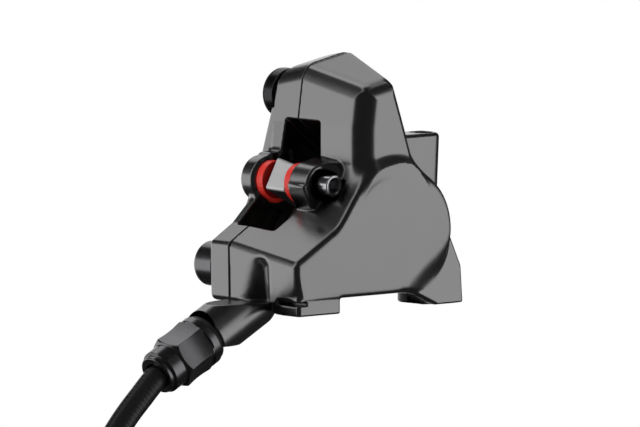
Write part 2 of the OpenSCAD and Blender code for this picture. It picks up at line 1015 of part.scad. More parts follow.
module swept_tube(points, r, sides) {
    rings = len(points);
    corners = [for (i = [0:rings - 1]) each ring_at(points[i], way(points, i), r, sides)];
    walls = [
        for (i = [0:rings - 2], k = [0:sides - 1])
            let (a = i * sides + k, b = i * sides + (k + 1) % sides)
            each [[a, b + sides, b], [a, a + sides, b + sides]]
    ];
    near_cap = [for (k = [1:sides - 2]) [0, k, k + 1]];
    far = (rings - 1) * sides;
    far_cap = [for (k = [1:sides - 2]) [far, far + k + 1, far + k]];
    polyhedron(corners, concat(walls, near_cap, far_cap));
}

// The coil: it spirals in and out again at a steady rate, and climbs a layer in the half
// turn where the spiral reverses. It starts at its leftmost point, heading down.
loop_rings = 24;
coil_x = hose_route[len(hose_route) - 1][0] + coil_outer_r;
coil_turns = turns_per_layer * coil_layers;
coil_build = turns_per_layer * coil_pitch;
end_lift = 2.4;
start_angle = 180;
function fold(t) =
    let (u = t / turns_per_layer, whole = floor(u), part = u - whole)
    whole % 2 == 0 ? part : 1 - part;
function ease(x) = 0.5 - 0.5 * cos(180 * max(0, min(1, x)));
function layer_at(t) =
    let (near = round(t / turns_per_layer), gap = t - near * turns_per_layer)
    near == 0 ? 0
    : near == coil_layers ? coil_layers - 1
    : near - 1 + ease((gap + 0.25) / 0.5);
function coil_point(t) =
    let (r = coil_outer_r - coil_build * fold(t), a = start_angle + 360 * t)
    [
        coil_x + r * cos(a),
        port_d - coil_pitch * layer_at(t) - end_lift * ease((t - coil_turns + 0.5) / 0.5),
        coil_z + r * sin(a)
    ];
coil_first = coil_point(0);
coil_last = coil_point(coil_turns);
coil_points = concat(
    [coil_first + [0, 0, hose_dia]],
    [for (i = [0:coil_turns * loop_rings]) coil_point(i / loop_rings)],
    [coil_last - [0, 0, hose_dia]]
);
tail_points = [coil_last - [0, 0, hose_dia], coil_last - [0, 0, 3 * hose_dia]];

// The least gap between the tube and itself, taken between rings over half a turn apart
coil_gap = min([
    for (i = [0:len(coil_points) - 1], j = [i + loop_rings / 2:1:len(coil_points) - 1])
        norm(coil_points[i] - coil_points[j]) - hose_dia
]);
echo(str("least gap of the coil to itself: ", coil_gap, " mm"));

function run_length(p) = len(p) < 2 ? 0 : run_sum(p, 0, 0);
function run_sum(p, i, sum) = i >= len(p) - 1 ? sum : run_sum(p, i + 1, sum + norm(p[i + 1] - p[i]));

free_points = concat(
    [for (s = [hose_start, -port_depth / 2, 0, 4.5, 9]) along_port(s)],
    [for (p = hose_route) [p[0], port_d, p[1]]],
    [coil_points[0]]
);
echo(str("length of the hose: ",
    run_length(free_points) + run_length(coil_points) + run_length(tail_points), " mm"));

module hose() {
    color(satin_black)
        from_rotor() {
            swept_tube(free_points, hose_r, 10);
        }
}

module hose_coil() {
    color(satin_black)
        from_rotor()
            swept_tube(concat(coil_points, [tail_points[1]]), hose_r, 6);
}

// A flat strap round all the turns, at the coil's right-hand side
tie_x = coil_x + coil_outer_r - coil_pitch;
module tie_section(grow) {
    half_x = coil_pitch / 2 + hose_r + grow;
    half_d = coil_pitch * (coil_layers - 1) / 2 + hose_r + grow;
    r = hose_r + grow;
    translate([tie_x, port_d - coil_pitch * (coil_layers - 1) / 2]) {
        square([2 * half_x, 2 * (half_d - r)], center = true);
        square([2 * (half_x - r), 2 * half_d], center = true);
        for (sx = [-1, 1], sy = [-1, 1]) {
            translate([sx * (half_x - r), sy * (half_d - r)])
                circle(r);
        }
    }
}

module hose_tie() {
    tie_w = 3.4;
    color(gloss_black)
        from_rotor()
            translate([0, 0, coil_z - tie_w / 2])
                linear_extrude(tie_w)
                    difference() {
                        tie_section(1.4);
                        tie_section(0.35);
                    }
}

// The far end of the hose, dressed for the lever: nut, olive, insert and a cap over them
module on_tail(s) {
    translate(coil_last - [0, 0, hose_dia + s])
        rotate([180, 0, 0])
            children();
}

module hose_end_nut() {
    color(satin_black)
        from_rotor()
            on_tail(1)
                difference() {
                    union() {
                        cylinder(h = 3, r = 4 / cos(30), $fn = 6);
                        cylinder(h = 7, r = 3.6);
                    }
                    translate([0, 0, -1])
                        cylinder(h = 9, r = hose_r + 0.1);
                }
}

module hose_end_olive() {
    color(brass)
        from_rotor()
            on_tail(9)
                olive_shape();
}

module hose_end_insert() {
    color(brass)
        from_rotor()
            on_tail(2 * hose_dia)
                mirror([0, 0, 1])
                    insert_shape(8);
}

module hose_end_cap() {
    color(gloss_black)
        from_rotor()
            on_tail(8.05)
                difference() {
                    cylinder(h = 6, r = 3.8);
                    translate([0, 0, -1])
                        cylinder(h = 4.6, r = hose_r + 0.5);
                }
}

outboard_body();
inboard_body();
upper_body_bolt();
lower_body_bolt();
crossover_seal();
outboard_piston();
inboard_piston();
outboard_piston_seal();
inboard_piston_seal();
outboard_pad_plate();
outboard_pad_lining();
inboard_pad_plate();
inboard_pad_lining();
pad_spring();
pad_pin();
pad_pin_ring();
pad_pin_clip();
bleed_screw();
bleed_screw_seal();
hose_nut();
hose_port_seal();
hose_olive();
hose_insert();
hose();
hose_coil();
hose_tie();
hose_end_nut();
hose_end_olive();
hose_end_insert();
hose_end_cap();
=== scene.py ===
import math

import bmesh
import bpy
import numpy as np
from mathutils import Matrix, Vector


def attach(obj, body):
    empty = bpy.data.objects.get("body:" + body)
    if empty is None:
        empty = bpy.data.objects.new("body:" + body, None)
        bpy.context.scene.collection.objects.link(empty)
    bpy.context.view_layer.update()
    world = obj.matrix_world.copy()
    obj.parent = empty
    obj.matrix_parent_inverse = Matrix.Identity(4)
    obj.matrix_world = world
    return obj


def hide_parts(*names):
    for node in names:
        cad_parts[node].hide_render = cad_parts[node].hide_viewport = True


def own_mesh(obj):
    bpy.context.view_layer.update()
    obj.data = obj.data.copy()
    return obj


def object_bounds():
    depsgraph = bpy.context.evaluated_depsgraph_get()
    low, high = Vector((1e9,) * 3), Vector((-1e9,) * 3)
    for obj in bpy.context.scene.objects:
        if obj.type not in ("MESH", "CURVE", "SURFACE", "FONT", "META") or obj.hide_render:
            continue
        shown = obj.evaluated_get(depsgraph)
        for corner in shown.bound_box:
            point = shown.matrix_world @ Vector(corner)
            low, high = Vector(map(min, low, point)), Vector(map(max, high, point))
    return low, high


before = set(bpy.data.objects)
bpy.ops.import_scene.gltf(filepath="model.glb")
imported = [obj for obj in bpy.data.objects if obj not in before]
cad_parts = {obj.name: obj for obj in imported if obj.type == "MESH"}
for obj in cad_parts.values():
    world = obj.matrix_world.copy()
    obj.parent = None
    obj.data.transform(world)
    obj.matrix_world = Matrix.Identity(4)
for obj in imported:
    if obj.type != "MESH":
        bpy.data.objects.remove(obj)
cad_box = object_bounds()

# Lengths are in millimetres up to the point where a mesh is made, and metres after that.
# Most places are in rotor coordinates: x to the rear, d outboard of the rotor's middle
# plane, z up.
MM = 0.001
HOLE_OFFSET = 10.5


def place(x, d, z):
    """A point in rotor coordinates as a point of the scene, in metres."""
    return Vector((x * MM, (HOLE_OFFSET - d) * MM, z * MM))


# Camera

PHOTO_W = 640
PIXEL = 0.2 * MM
VIEW_AZIMUTH = math.radians(41)
VIEW_ELEVATION = math.radians(5.5)
CAMERA_DISTANCE = 3.0
SENSOR_W = 36.0
AIM = Vector((-5.29, 5.25, 18.7)) * MM


def make_camera():
    """A long lens, far off, because the photograph is close to a parallel projection."""
    data = bpy.data.cameras.new("camera")
    data.sensor_width = SENSOR_W
    data.lens = SENSOR_W * CAMERA_DISTANCE / (PHOTO_W * PIXEL)
    data.clip_end = 20
    camera = bpy.data.objects.new("camera", data)
    bpy.context.scene.collection.objects.link(camera)
    back = Vector((
        -math.sin(VIEW_AZIMUTH) * math.cos(VIEW_ELEVATION),
        -math.cos(VIEW_AZIMUTH) * math.cos(VIEW_ELEVATION),
        math.sin(VIEW_ELEVATION),
    ))
    camera.location = AIM + CAMERA_DISTANCE * back
    camera.rotation_euler = (-back).to_track_quat("-Z", "Y").to_euler()
    bpy.context.scene.camera = camera


# Places and sizes that several pieces share, as in the solids. A pair is x and z.

PIN = (-9.3, 25.1)
PISTON = (3.9, 14.8)
UPPER_BOLT = (0.2, 41.5)
UPPER_SEAT_D = -9.3
LOWER_BOLT = (-18.5, 8.3)
SEAM_D = -1.5
POCKET_D = 5.25
POCKET_HALF = 12.15
POCKET_LENGTH = 30
POCKET_EDGE_R = 0.35
PORT_MOUTH = (-34.7, 4.2, -4.3)
PORT_FALL = math.radians(28)
NUT_L = 14.4
HOSE_R = 2.5
PAD_REACH = math.hypot(PISTON[0] - PIN[0], PISTON[1] - PIN[1])
PAD_FALL = math.atan2(PIN[1] - PISTON[1], PISTON[0] - PIN[0])
ROTOR_REACH = 58.5
ROTOR = (
    PISTON[0] + ROTOR_REACH * math.cos(PAD_FALL),
    PISTON[1] - ROTOR_REACH * math.sin(PAD_FALL),
)
SLOT_R = 73.0
SLOT_HALF = 1.5
REAR_HOLE_X = 17.0
FRONT_HOLE_X = -17.0
MOUNT_HOLE_R = 2.5
BORE_R = 10.55
BORE_FROM, BORE_TO = 4, 13.9
SEAL_GROOVE_R = 12.0
SEAL_GROOVE = (7.7, 9.8)
PIN_HOLE_R = 1.7
PIN_HEAD_HOLE_R = 3.05
BOLT_HOLE_R = 3.05
BOSS_HOLE_R = 2.3
PORT_THREAD_R = 3.6
PORT_R = 3.0
HOLE_EDGE_R = 0.2
THROUGH = 20
TOWER_X = -5.3
LEAN_FROM_Z = 36.5
LEAN = (-0.99, 0, 0.138)


def along_port(s):
    """A point on the hose port's axis, s outside the neck's mouth, in rotor coordinates."""
    x, d, z = PORT_MOUTH
    return (x - s * math.cos(PORT_FALL), d, z - s * math.sin(PORT_FALL))


PORT_AXIS = Vector((-math.cos(PORT_FALL), 0, -math.sin(PORT_FALL)))

# The hose

# Places along the port's axis that the hose goes through
HOSE_IN_PORT = (-7.9, -3, 0, 4.5, 9)
# A hair thinner than the solid, to stay inside its box
HOSE_FIT = 0.9999
HOSE_ROUTE = [
    (-47.6, -11.6), (-51.3, -14.9), (-55.2, -18.6), (-59.1, -23.1), (-62.7, -28.6),
    (-65.6, -35.2), (-67.6, -42.6), (-68.7, -50.2), (-69, -56.5),
]
COIL_Z = -66.0
COIL_OUTER_R = 35.6
COIL_PITCH = 5.6
TURNS_PER_LAYER = 2
COIL_LAYERS = 4
COIL_TURNS = TURNS_PER_LAYER * COIL_LAYERS
CLIMB_TURNS = 0.5
COIL_X = HOSE_ROUTE[-1][0] + COIL_OUTER_R
END_LIFT = 2.4
RINGS_PER_LOOP = 48


def ease(t):
    """Rises smoothly from 0 to 1 as t does."""
    return 0.5 - 0.5 * math.cos(math.pi * max(0.0, min(1.0, t)))


def coil_point(t):
    """A point of the coil after t turns: in and out steadily, a layer up at each reversal."""
    whole = math.floor(t / TURNS_PER_LAYER)
    part = t / TURNS_PER_LAYER - whole
    fold = part if whole % 2 == 0 else 1 - part
    near = round(t / TURNS_PER_LAYER)
    if near == 0:
        layer = 0
    elif near == COIL_LAYERS:
        layer = COIL_LAYERS - 1
    else:
        climbed = t - near * TURNS_PER_LAYER + CLIMB_TURNS / 2
        layer = near - 1 + ease(climbed / CLIMB_TURNS)
    r = COIL_OUTER_R - TURNS_PER_LAYER * COIL_PITCH * fold
    a = math.pi + 2 * math.pi * t
    lift = END_LIFT * ease((t - COIL_TURNS + CLIMB_TURNS) / CLIMB_TURNS)
    d = PORT_MOUTH[1] - COIL_PITCH * layer - lift
    return (COIL_X + r * math.cos(a), d, COIL_Z + r * math.sin(a))


def smooth_through(points, steps):
    """A Catmull-Rom curve through points, with steps pieces to a stretch."""
    p = [Vector(q) for q in points]
    p = [2 * p[0] - p[1]] + p + [2 * p[-1] - p[-2]]
    made = []
    for i in range(1, len(p) - 2):
        for k in range(steps):
            t = k / steps
            made.append(0.5 * (
                2 * p[i] + (p[i + 1] - p[i - 1]) * t
                + (2 * p[i - 1] - 5 * p[i] + 4 * p[i + 1] - p[i + 2]) * t ** 2
                + (3 * p[i] - p[i - 1] - 3 * p[i + 1] + p[i + 2]) * t ** 3
            ))
    return made + [p[-2]]


def hose_path():
    """The hose's centre line from inside its fitting to its far end, in rotor coordinates."""
    dia = 2 * HOSE_R
    first, last = Vector(coil_point(0)), Vector(coil_point(COIL_TURNS))
    up = Vector((0, 0, dia))
    free = [along_port(s) for s in HOSE_IN_PORT]
    free += [(x, PORT_MOUTH[1], z) for x, z in HOSE_ROUTE] + [first + up]
    coil = [coil_point(k / RINGS_PER_LOOP) for k in range(COIL_TURNS * RINGS_PER_LOOP + 1)]
    return smooth_through(free, 4) + [Vector(q) for q in coil] + [last - up, last - 3 * up]


def link_mesh(name, vertices, faces, smooth=True):
    """A new mesh object of the scene, from points in metres."""
    mesh = bpy.data.meshes.new(name)
    mesh.from_pydata([tuple(v) for v in vertices], [], faces)
    mesh.validate()
    mesh.update()
    if smooth:
        mesh.shade_smooth()
    made = bpy.data.objects.new(name, mesh)
    bpy.context.scene.collection.objects.link(made)
    return made


def tube(name, points, r, sides):
    """A round tube along points, with a UV map that runs round it and, in metres, along it."""
    n = len(points)
    vertices, along = [], [0.0]
    for a, b in zip(points, points[1:]):
        along.append(along[-1] + (b - a).length)
    side = Vector((0, 1, 0))
    for i, p in enumerate(points):
        ahead = (points[min(i + 1, n - 1)] - points[max(i - 1, 0)]).normalized()
        across = side.cross(ahead).normalized()
        up = ahead.cross(across)
        for k in range(sides):
            a = 2 * math.pi * k / sides
            vertices.append(p + r * (math.cos(a) * across + math.sin(a) * up))
    faces = [
        (i * sides + k, i * sides + (k + 1) % sides,
         (i + 1) * sides + (k + 1) % sides, (i + 1) * sides + k)
        for i in range(n - 1) for k in range(sides)
    ]
    faces.append(tuple(range(sides - 1, -1, -1)))
    faces.append(tuple((n - 1) * sides + k for k in range(sides)))
    made = link_mesh(name, vertices, faces)
    layer = made.data.uv_layers.new(name="along")
    for face in made.data.polygons:
        for loop in face.loop_indices:
            ring, k = divmod(made.data.loops[loop].vertex_index, sides)
            last_side = len(face.vertices) == 4 and face.index % sides == sides - 1
            wrap = 1.0 if last_side and k == 0 else 0.0
            layer.data[loop].uv = (wrap + k / sides, along[ring])
    return made


# Fields: a body is a function of x, d and z that is negative inside it, in millimetres.
# The bare numbers in a field are that shape's own planes, radii and edge radii: the
# first number of meet, join and cut is the radius of the edges that they round.


def meet(r, *fields):
    """What all the fields share, with its edges rounded to radius r."""
    most = fields[0]
    for f in fields[1:]:
        most = np.maximum(most, f)
    over = sum(np.maximum(f + r, 0) ** 2 for f in fields)
    return np.minimum(most, -r) + np.sqrt(over)


def join(r, *fields):
    """All the fields together, with a fillet of radius r between them."""
    return -meet(r, *[-f for f in fields])


def cut(r, body, tool):
    """The body without the tool, with the new edges rounded to radius r."""
    return meet(r, body, -tool)


def plane(x, d, z, point, normal):
    """The side of a plane away from its normal."""
    n = np.array(normal, float)
    n /= np.linalg.norm(n)
    return n[0] * (x - point[0]) + n[1] * (d - point[1]) + n[2] * (z - point[2])


def between(value, low, high):
    """A slab from low to high."""
    return np.maximum(low - value, value - high)


def round_bar(x, z, centre, r):
    """A round bar of radius r along d."""
    return np.hypot(x - centre[0], z - centre[1]) - r


def outline(x, z, points):
    """The distance to a closed drawing in x and z, negative inside it."""
    x, z = np.broadcast_arrays(x, z)
    best = np.full(x.shape, np.inf)
    inside = np.zeros(x.shape, bool)
    for (ax, az), (bx, bz) in zip(points, points[1:] + points[:1]):
        ex, ez = bx - ax, bz - az
        wx, wz = x - ax, z - az
        t = np.clip((wx * ex + wz * ez) / (ex * ex + ez * ez), 0, 1)
        best = np.minimum(best, (wx - ex * t) ** 2 + (wz - ez * t) ** 2)
        crosses = (az > z) != (bz > z)
        inside ^= crosses & (wx * ez > wz * ex if ez < 0 else wx * ez < wz * ex)
    return np.where(inside, -1, 1) * np.sqrt(best)


def on_port(x, d, z):
    """Distance along the hose port's axis from the neck's mouth, and distance from the axis."""
    wx, wd, wz = x - PORT_MOUTH[0], d - PORT_MOUTH[1], z - PORT_MOUTH[2]
    s = wx * PORT_AXIS.x + wz * PORT_AXIS.z
    across = -wx * PORT_AXIS.z + wz * PORT_AXIS.x
    return s, np.hypot(across, wd)


def on_pad(x, z):
    """Distance from the pin towards the piston, and across that."""
    c, s = math.cos(PAD_FALL), math.sin(PAD_FALL)
    wx, wz = x - PIN[0], z - PIN[1]
    return wx * c - wz * s, wx * s + wz * c


def surface_net(field, low, high, step):
    """Vertices and quads of the field's surface: one vertex to a cell that the surface crosses."""
    axes = [np.arange(a, b + step, step) for a, b in zip(low, high)]
    x, d, z = np.meshgrid(*axes, indexing="ij", sparse=True)
    value = np.broadcast_to(field(x, d, z), [len(a) for a in axes]).astype(np.float32)
    cells = tuple(n - 1 for n in value.shape)
    total = np.zeros(cells + (3,), np.float32)
    count = np.zeros(cells, np.int16)
    for axis in range(3):
        others = [a for a in range(3) if a != axis]
        for u in (0, 1):
            for v in (0, 1):
                start = [0, 0, 0]
                start[others[0]], start[others[1]] = u, v
                a = value[tuple(slice(s, s + c) for s, c in zip(start, cells))]
                start[axis] = 1
                b = value[tuple(slice(s, s + c) for s, c in zip(start, cells))]
                crossed = (a < 0) != (b < 0)
                share = np.where(crossed, a / np.where(crossed, a - b, 1), 0)
                total[..., axis] += share
                total[..., others[0]] += np.where(crossed, u, 0)
                total[..., others[1]] += np.where(crossed, v, 0)
                count += crossed
    live = count > 0
    number = np.full(cells, -1, np.int64)
    number[live] = np.arange(live.sum())
    where = np.argwhere(live)
    vertices = (where + total[live] / count[live][:, None]) * step + np.array([a[0] for a in axes])
    quads = []
    for axis in range(3):
        u, v = [(1, 2), (2, 0), (0, 1)][axis]
        lo, hi = [slice(None)] * 3, [slice(None)] * 3
        for a in (u, v):
            lo[a] = hi[a] = slice(1, cells[a])
        lo[axis], hi[axis] = slice(0, cells[axis]), slice(1, cells[axis] + 1)
        a, b = value[tuple(lo)], value[tuple(hi)]
        for sign in (True, False):
            found = np.argwhere(((a < 0) != (b < 0)) & ((a < 0) == sign))
            found[:, u] += 1
            found[:, v] += 1
            ring = []
            for du, dv in ((0, 0), (-1, 0), (-1, -1), (0, -1)):
                cell = found.copy()
                cell[:, u] += du
                cell[:, v] += dv
                ring.append(number[tuple(cell.T)])
            ring = np.stack(ring if sign else ring[::-1], 1)
            quads.append(ring)
    return vertices, np.concatenate(quads)


def slope_of(field, p):
    """Which way the field rises fastest, and how fast, at each point."""
    small = 0.02
    return np.stack([
        (field(*(p + small * axis).T) - field(*(p - small * axis).T)) / (2 * small)
        for axis in np.eye(3)
    ], 1)


def settle(field, vertices, step):
    """Moves vertices onto the field's surface, along its slope, and finds the normals there."""
    p = vertices.astype(float)
    for _ in range(3):
        slope = slope_of(field, p)
        steep = np.maximum((slope ** 2).sum(1), 0.25)
        move = -(field(*p.T) / steep)[:, None] * slope
        p += np.clip(move, -step / 2, step / 2)
    slope = slope_of(field, p)
    return p, slope / np.maximum(np.linalg.norm(slope, axis=1), 1e-6)[:, None]


def rotor_to_scene(p):
    """Points in rotor coordinates as points of the scene, in millimetres."""
    return np.stack([p[:, 0], HOLE_OFFSET - p[:, 1], p[:, 2]], 1)


def field_piece(name, field, low, high, step, to_scene=rotor_to_scene, mirrored=True):
    """A smooth mesh piece of a field, shaded with the field's own normals."""
    vertices, quads = surface_net(field, low, high, step)
    vertices, normals = settle(field, vertices, step)
    origin = to_scene(np.zeros((1, 3)))
    points = to_scene(vertices) * MM
    normals = to_scene(normals) - origin
    if mirrored:
        quads = quads[:, ::-1]
    mesh = bpy.data.meshes.new(name)
    mesh.vertices.add(len(points))
    mesh.vertices.foreach_set("co", points.astype(np.float32).ravel())
    mesh.loops.add(quads.size)
    mesh.loops.foreach_set("vertex_index", quads.astype(np.int32).ravel())
    mesh.polygons.add(len(quads))
    mesh.polygons.foreach_set("loop_start", np.arange(0, quads.size, 4, dtype=np.int32))
    mesh.update(calc_edges=True)
    mesh.shade_smooth()
    mesh.normals_split_custom_set_from_vertices(normals.tolist())
    made = bpy.data.objects.new(name, mesh)
    bpy.context.scene.collection.objects.link(made)
    return made


# The outboard half of the body

PEAK = (8.4, 50.38)
TOP_SLOPE_BACK = 0.2
TOP_SLOPE_OUT = 0.168
TOP_SLOPE_IN = 0.2
FRONT_R = 3.0
TOWER_SIDE_D = 18
TOWER_BACK = (16.6, -1.5, 35)
TOWER_FOOT_Z = 16
FOOT_END_X = 22.1
HOUSING = (3.8, 14.9)
HOUSING_R = 14.7
FACE_CENTRE = (-6, -580.4, 22)
FACE_R = 600
NECK_R = 5.4
LUG_R = 4.45
LUG_TAPER = 0.09
BOSS_POST_R = 4.7


def tower_top(x, d, z, slope):
    """The sloping top, which falls away from the seam on either side."""
    point = (PEAK[0], SEAM_D, PEAK[1])
    return plane(x, d, z, point, (-TOP_SLOPE_BACK, slope, 1))


def tower_field(x, d, z):
    """The upper part of the outboard half: a leaning front, a flat side and a round back."""
    end = plane(x, d, z, (TOWER_X, 0, 0), (-1, 0, 0))
    lean = plane(x, d, z, (TOWER_X, SEAM_D, LEAN_FROM_Z), LEAN)
    side = plane(x, d, z, (0, TOWER_SIDE_D, 0), (0, 1, 0))
    top = tower_top(x, d, z, TOP_SLOPE_OUT)
    back_high = plane(x, d, z, TOWER_BACK, (1, 0.4, 0.43))
    back_low = plane(x, d, z, TOWER_BACK, (1, 0.4, 0.25))
    back = meet(6, back_high, back_low)
    front = np.maximum(end, lean)
    wall = np.maximum(meet(3.9, front, side), meet(1.8, side, back))
    crown = meet(0.8, meet(FRONT_R, front, top), meet(3.4, side, top), meet(2.4, top, back))
    return np.maximum(wall, crown)


def bare_outline(x, d, z):
    """The sloping shelf and the round piston housing as one outline, seen square to the face."""
    shelf = plane(x, d, z, (-12.2, 0, 20.3), (-0.6, 0.15, 1))
    front = plane(x, d, z, (-23.6, 0, 6), (-1, 0, -0.02))
    rear = plane(x, d, z, (-2, 0, 0), (1, 0, 0))
    low_front = meet(0.4, meet(1.2, shelf, front), rear)
    housing = round_bar(x, z, HOUSING, HOUSING_R)
    return join(3.0, low_front, housing)


def smooth_step(value, start, end):
    """Rises smoothly from 0 to 1 as value goes from start to end."""
    t = np.clip((value - start) / (end - start), 0, 1)
    return t * t * (3 - 2 * t)


def low_field(x, d, z):
    """The low part of the outboard half, behind the bare face, which is slightly domed."""
    under = join(0.4, 2.8 - z, meet(0.4, 1.7 - z, x + 11.3, d - 13))
    cx, cd, cz = FACE_CENTRE
    out = np.sqrt((x - cx) ** 2 + (d - cd) ** 2 + (z - cz) ** 2) - FACE_R
    # The face's edge is rounder round the housing, and most of all at its lower rear.
    edge_r = 1.6 + 2.6 * smooth_step(x, -12, 14) * smooth_step(x, 19, 9)
    edge_r = edge_r + 3.0 * smooth_step(z, 15, 5) * smooth_step(x, -2, 14)
    shape = bare_outline(x, d, z)
    corner = plane(x, d, z, (-23.9, 19.6, 11), (-0.912, 0.31, -0.267))
    body = meet(0.9, meet(edge_r, shape, out), meet(1.4, under, out), meet(0.8, shape, under))
    return meet(0.8, body, corner)


def rear_foot_field(x, d, z):
    """The rear foot, with a slanting web that joins it to the round housing."""
    right = plane(x, d, z, (FOOT_END_X, 0, 7.4), (1, 0, 0.42))
    straight = x - FOOT_END_X
    outer = plane(x, d, z, (20, 17.6, 3), (0.05, 1, 0.08))
    inner = plane(x, d, z, (0, 7.0, 0), (0, -1, 0.1))
    cap = plane(x, d, z, (19, 0, 17), (0.5, 0, 1))
    left = 14.1 - x
    upright = meet(0.7, meet(0.2, right, straight), outer)
    block = meet(0.8, upright, inner, cap, left)
    web = plane(x, d, z, (14.4, 0, 0), (-1, 0, -2.2))
    web = meet(0.8, upright, 13 - d, z - 10.5, 6 - x, web)
    return meet(0.4, np.minimum(block, web), -z)


def rear_boss_field(x, d, z):
    """The boss behind the tower: round under the body, and flat on its outboard side above."""
    post = np.hypot(x - REAR_HOLE_X, d - HOLE_OFFSET) - BOSS_POST_R
    post = meet(0.4, post, -z, z - 6)
    right = plane(x, d, z, (20.5, 0, 34), (1, 0, -0.05))
    block = meet(3.0, right, plane(x, d, z, (0, 13.9, 0), (0, 1, 0)))
    block = meet(1.0, block, z - 34.1)
    block = meet(0.5, block, 7.1 - d, 5 - x, 2.8 - z)
    return join(0.5, post, block)


def front_foot_field(x, d, z):
    """The front foot, with the thin groove across its end."""
    block = meet(
        0.8, between(d, 7.0, 18.8), x + 11.4, z - 3.9,
        plane(x, d, z, (-22.6, 12.5, 0), (-1, -0.35, 0)), -22.7 - x,
    )
    groove = np.maximum(x + 20.5, np.hypot(z - 2.5, np.maximum(-x - 22.9, 0)) - 0.35)
    return meet(0.3, block, -z, -groove)


def near_lug_field(x, d, z):
    """The lug round the pin, its keel and the block that it grows out of."""
    ring = round_bar(x, z, PIN, LUG_R - LUG_TAPER * (d - POCKET_D))
    keel = meet(
        0.4, plane(x, d, z, (-12.7, POCKET_D, 19.9), (-0.2, 0.16, -1)),
        plane(x, d, z, (-12.2, POCKET_D, 21.5), (-0.9, -0.1, -0.4)), z - PIN[1], x + 4.0,
    )
    ring = meet(0.5, join(1.0, ring, keel), between(d, POCKET_D, HOLE_OFFSET))
    block = meet(
        2.2, plane(x, d, z, (-5.3, 4.65, 30.1), (0.1, 0.1, 1)), d - 12.7,
        PIN[0] + 1.4 - x, 19.6 - z,
    )
    block = meet(0.3, block, POCKET_D - d, x + 3)
    return join(2.2, ring, block)


def neck_field(x, d, z):
    """The round neck that the hose's fitting screws into."""
    s, r = on_port(x, d, z)
    bar = meet(4.6, r - NECK_R, -18.2 - s)
    return meet(0.25, bar, s, z - 2.3)


def pad_pocket_field(x, z):
    """The window that the pads stand in: its end is round, about the piston's axis."""
    along, across = on_pad(x, z)
    straight = np.maximum(along - PAD_REACH, -POCKET_LENGTH - along)
    box = np.maximum(np.abs(across) - POCKET_HALF, straight)
    round_end = np.hypot(along - PAD_REACH, across) - POCKET_HALF
    return np.minimum(box, round_end)


def scoop_field(x, d, z):
    """The hollow in the front end: a long slanting wall facing outboard, and a short one."""
    long_wall = -plane(x, d, z, (-23.6, 3.0, 3), (-0.82, 0.57, -0.24))
    short_wall = plane(x, d, z, (-23.6, 10.3, 3), (0.6, 1, 0.04))
    return meet(2.0, long_wall, short_wall, z - 11.2)


def outboard_field(x, d, z):
    """The outboard half: tower, low part, feet, near lug and neck, less its holes."""
    low = low_field(x, d, z)
    inward = np.maximum(-bare_outline(x, d, z), 0)
    recess = 0.62 * (d - TOWER_SIDE_D + 1.3 * inward)
    tower = np.maximum(tower_field(x, d, z), recess)
    tower = np.maximum(tower, TOWER_FOOT_Z - z)
    body = join(3.6, tower, low)
    body = join(1.6, body, rear_foot_field(x, d, z))
    body = join(0.8, body, rear_boss_field(x, d, z))
    body = join(0.6, body, front_foot_field(x, d, z))
    body = cut(1.4, body, scoop_field(x, d, z))
    body = meet(0.3, body, SEAM_D - d)
    pocket = meet(0.6, pad_pocket_field(x, z), d - POCKET_D)
    body = cut(POCKET_EDGE_R, body, pocket)
    slot = np.maximum(round_bar(x, z, ROTOR, SLOT_R), d - SLOT_HALF)
    body = cut(0.3, body, slot)
    body = join(0.5, body, near_lug_field(x, d, z))
    body = join(0.6, body, neck_field(x, d, z))
    for hole in outboard_holes(x, d, z):
        body = cut(HOLE_EDGE_R, body, hole)
    return body


def outboard_holes(x, d, z):
    """Bore, seal groove, pin, pin's head, bolts, mounts, rear boss and hose port."""
    s, r = on_port(x, d, z)
    rear = np.hypot(x - REAR_HOLE_X, d - HOLE_OFFSET)
    front = np.hypot(x - FRONT_HOLE_X, d - HOLE_OFFSET)
    return [
        np.maximum(round_bar(x, z, PISTON, BORE_R), between(d, BORE_FROM, BORE_TO)),
        np.maximum(round_bar(x, z, PISTON, SEAL_GROOVE_R), between(d, *SEAL_GROOVE)),
        np.maximum(round_bar(x, z, PIN, PIN_HOLE_R), between(d, 0, THROUGH)),
        np.maximum(round_bar(x, z, PIN, PIN_HEAD_HOLE_R), between(d, 8.2, 14.3)),
        np.maximum(round_bar(x, z, UPPER_BOLT, BOLT_HOLE_R), between(d, -4, 9)),
        np.maximum(round_bar(x, z, LOWER_BOLT, BOLT_HOLE_R), between(d, -4, 3.1)),
        np.maximum(rear - MOUNT_HOLE_R, between(z, -2, 7.5)),
        np.maximum(rear - BOSS_HOLE_R, between(z, 25.1, 40)),
        np.maximum(front - MOUNT_HOLE_R, between(z, -2, 11.5)),
        np.maximum(r - PORT_THREAD_R, between(s, -6, 2)),
        np.maximum(r - PORT_R, between(s, -8.4, 0)),
    ]


# The inboard half of the body

INNER_OUTLINE = [
    (-23.4, 1.6), (-23.6, 13.4), (-17.8, 16.9), (-13.6, 20.9), (-6.8, 28.9), (-5.3, 36.5),
    (-2.9, 53.7), (7.7, 53.7), (12.9, 43.5), (15.2, 35), (16.9, 17), (15, 7), (10, 2.8),
    (-14, 2.8), (-14.6, 1.6),
]
OUTLINE_R = 1.4
PLATE_BACK_D = -7.6
DRUM_R = 13.0
DRUM_BACK_D = -15.2
FAR_LUG_R = 4.7
UPPER_SEAT_R = 5.5
BLEED_BASE = (13.2, -4.7, 40.3)
BLEED_RISE = math.radians(19)
BLEED_SEAT_R = 3.1
BLEED_HOLE_R = 2.55


def on_bleed(x, d, z):
    """Distance along the bleed screw's axis from its seat, and distance from the axis."""
    wx, wz = x - BLEED_BASE[0], z - BLEED_BASE[2]
    c, s = math.cos(BLEED_RISE), math.sin(BLEED_RISE)
    return wx * c + wz * s, np.hypot(wx * s - wz * c, d - BLEED_BASE[1])


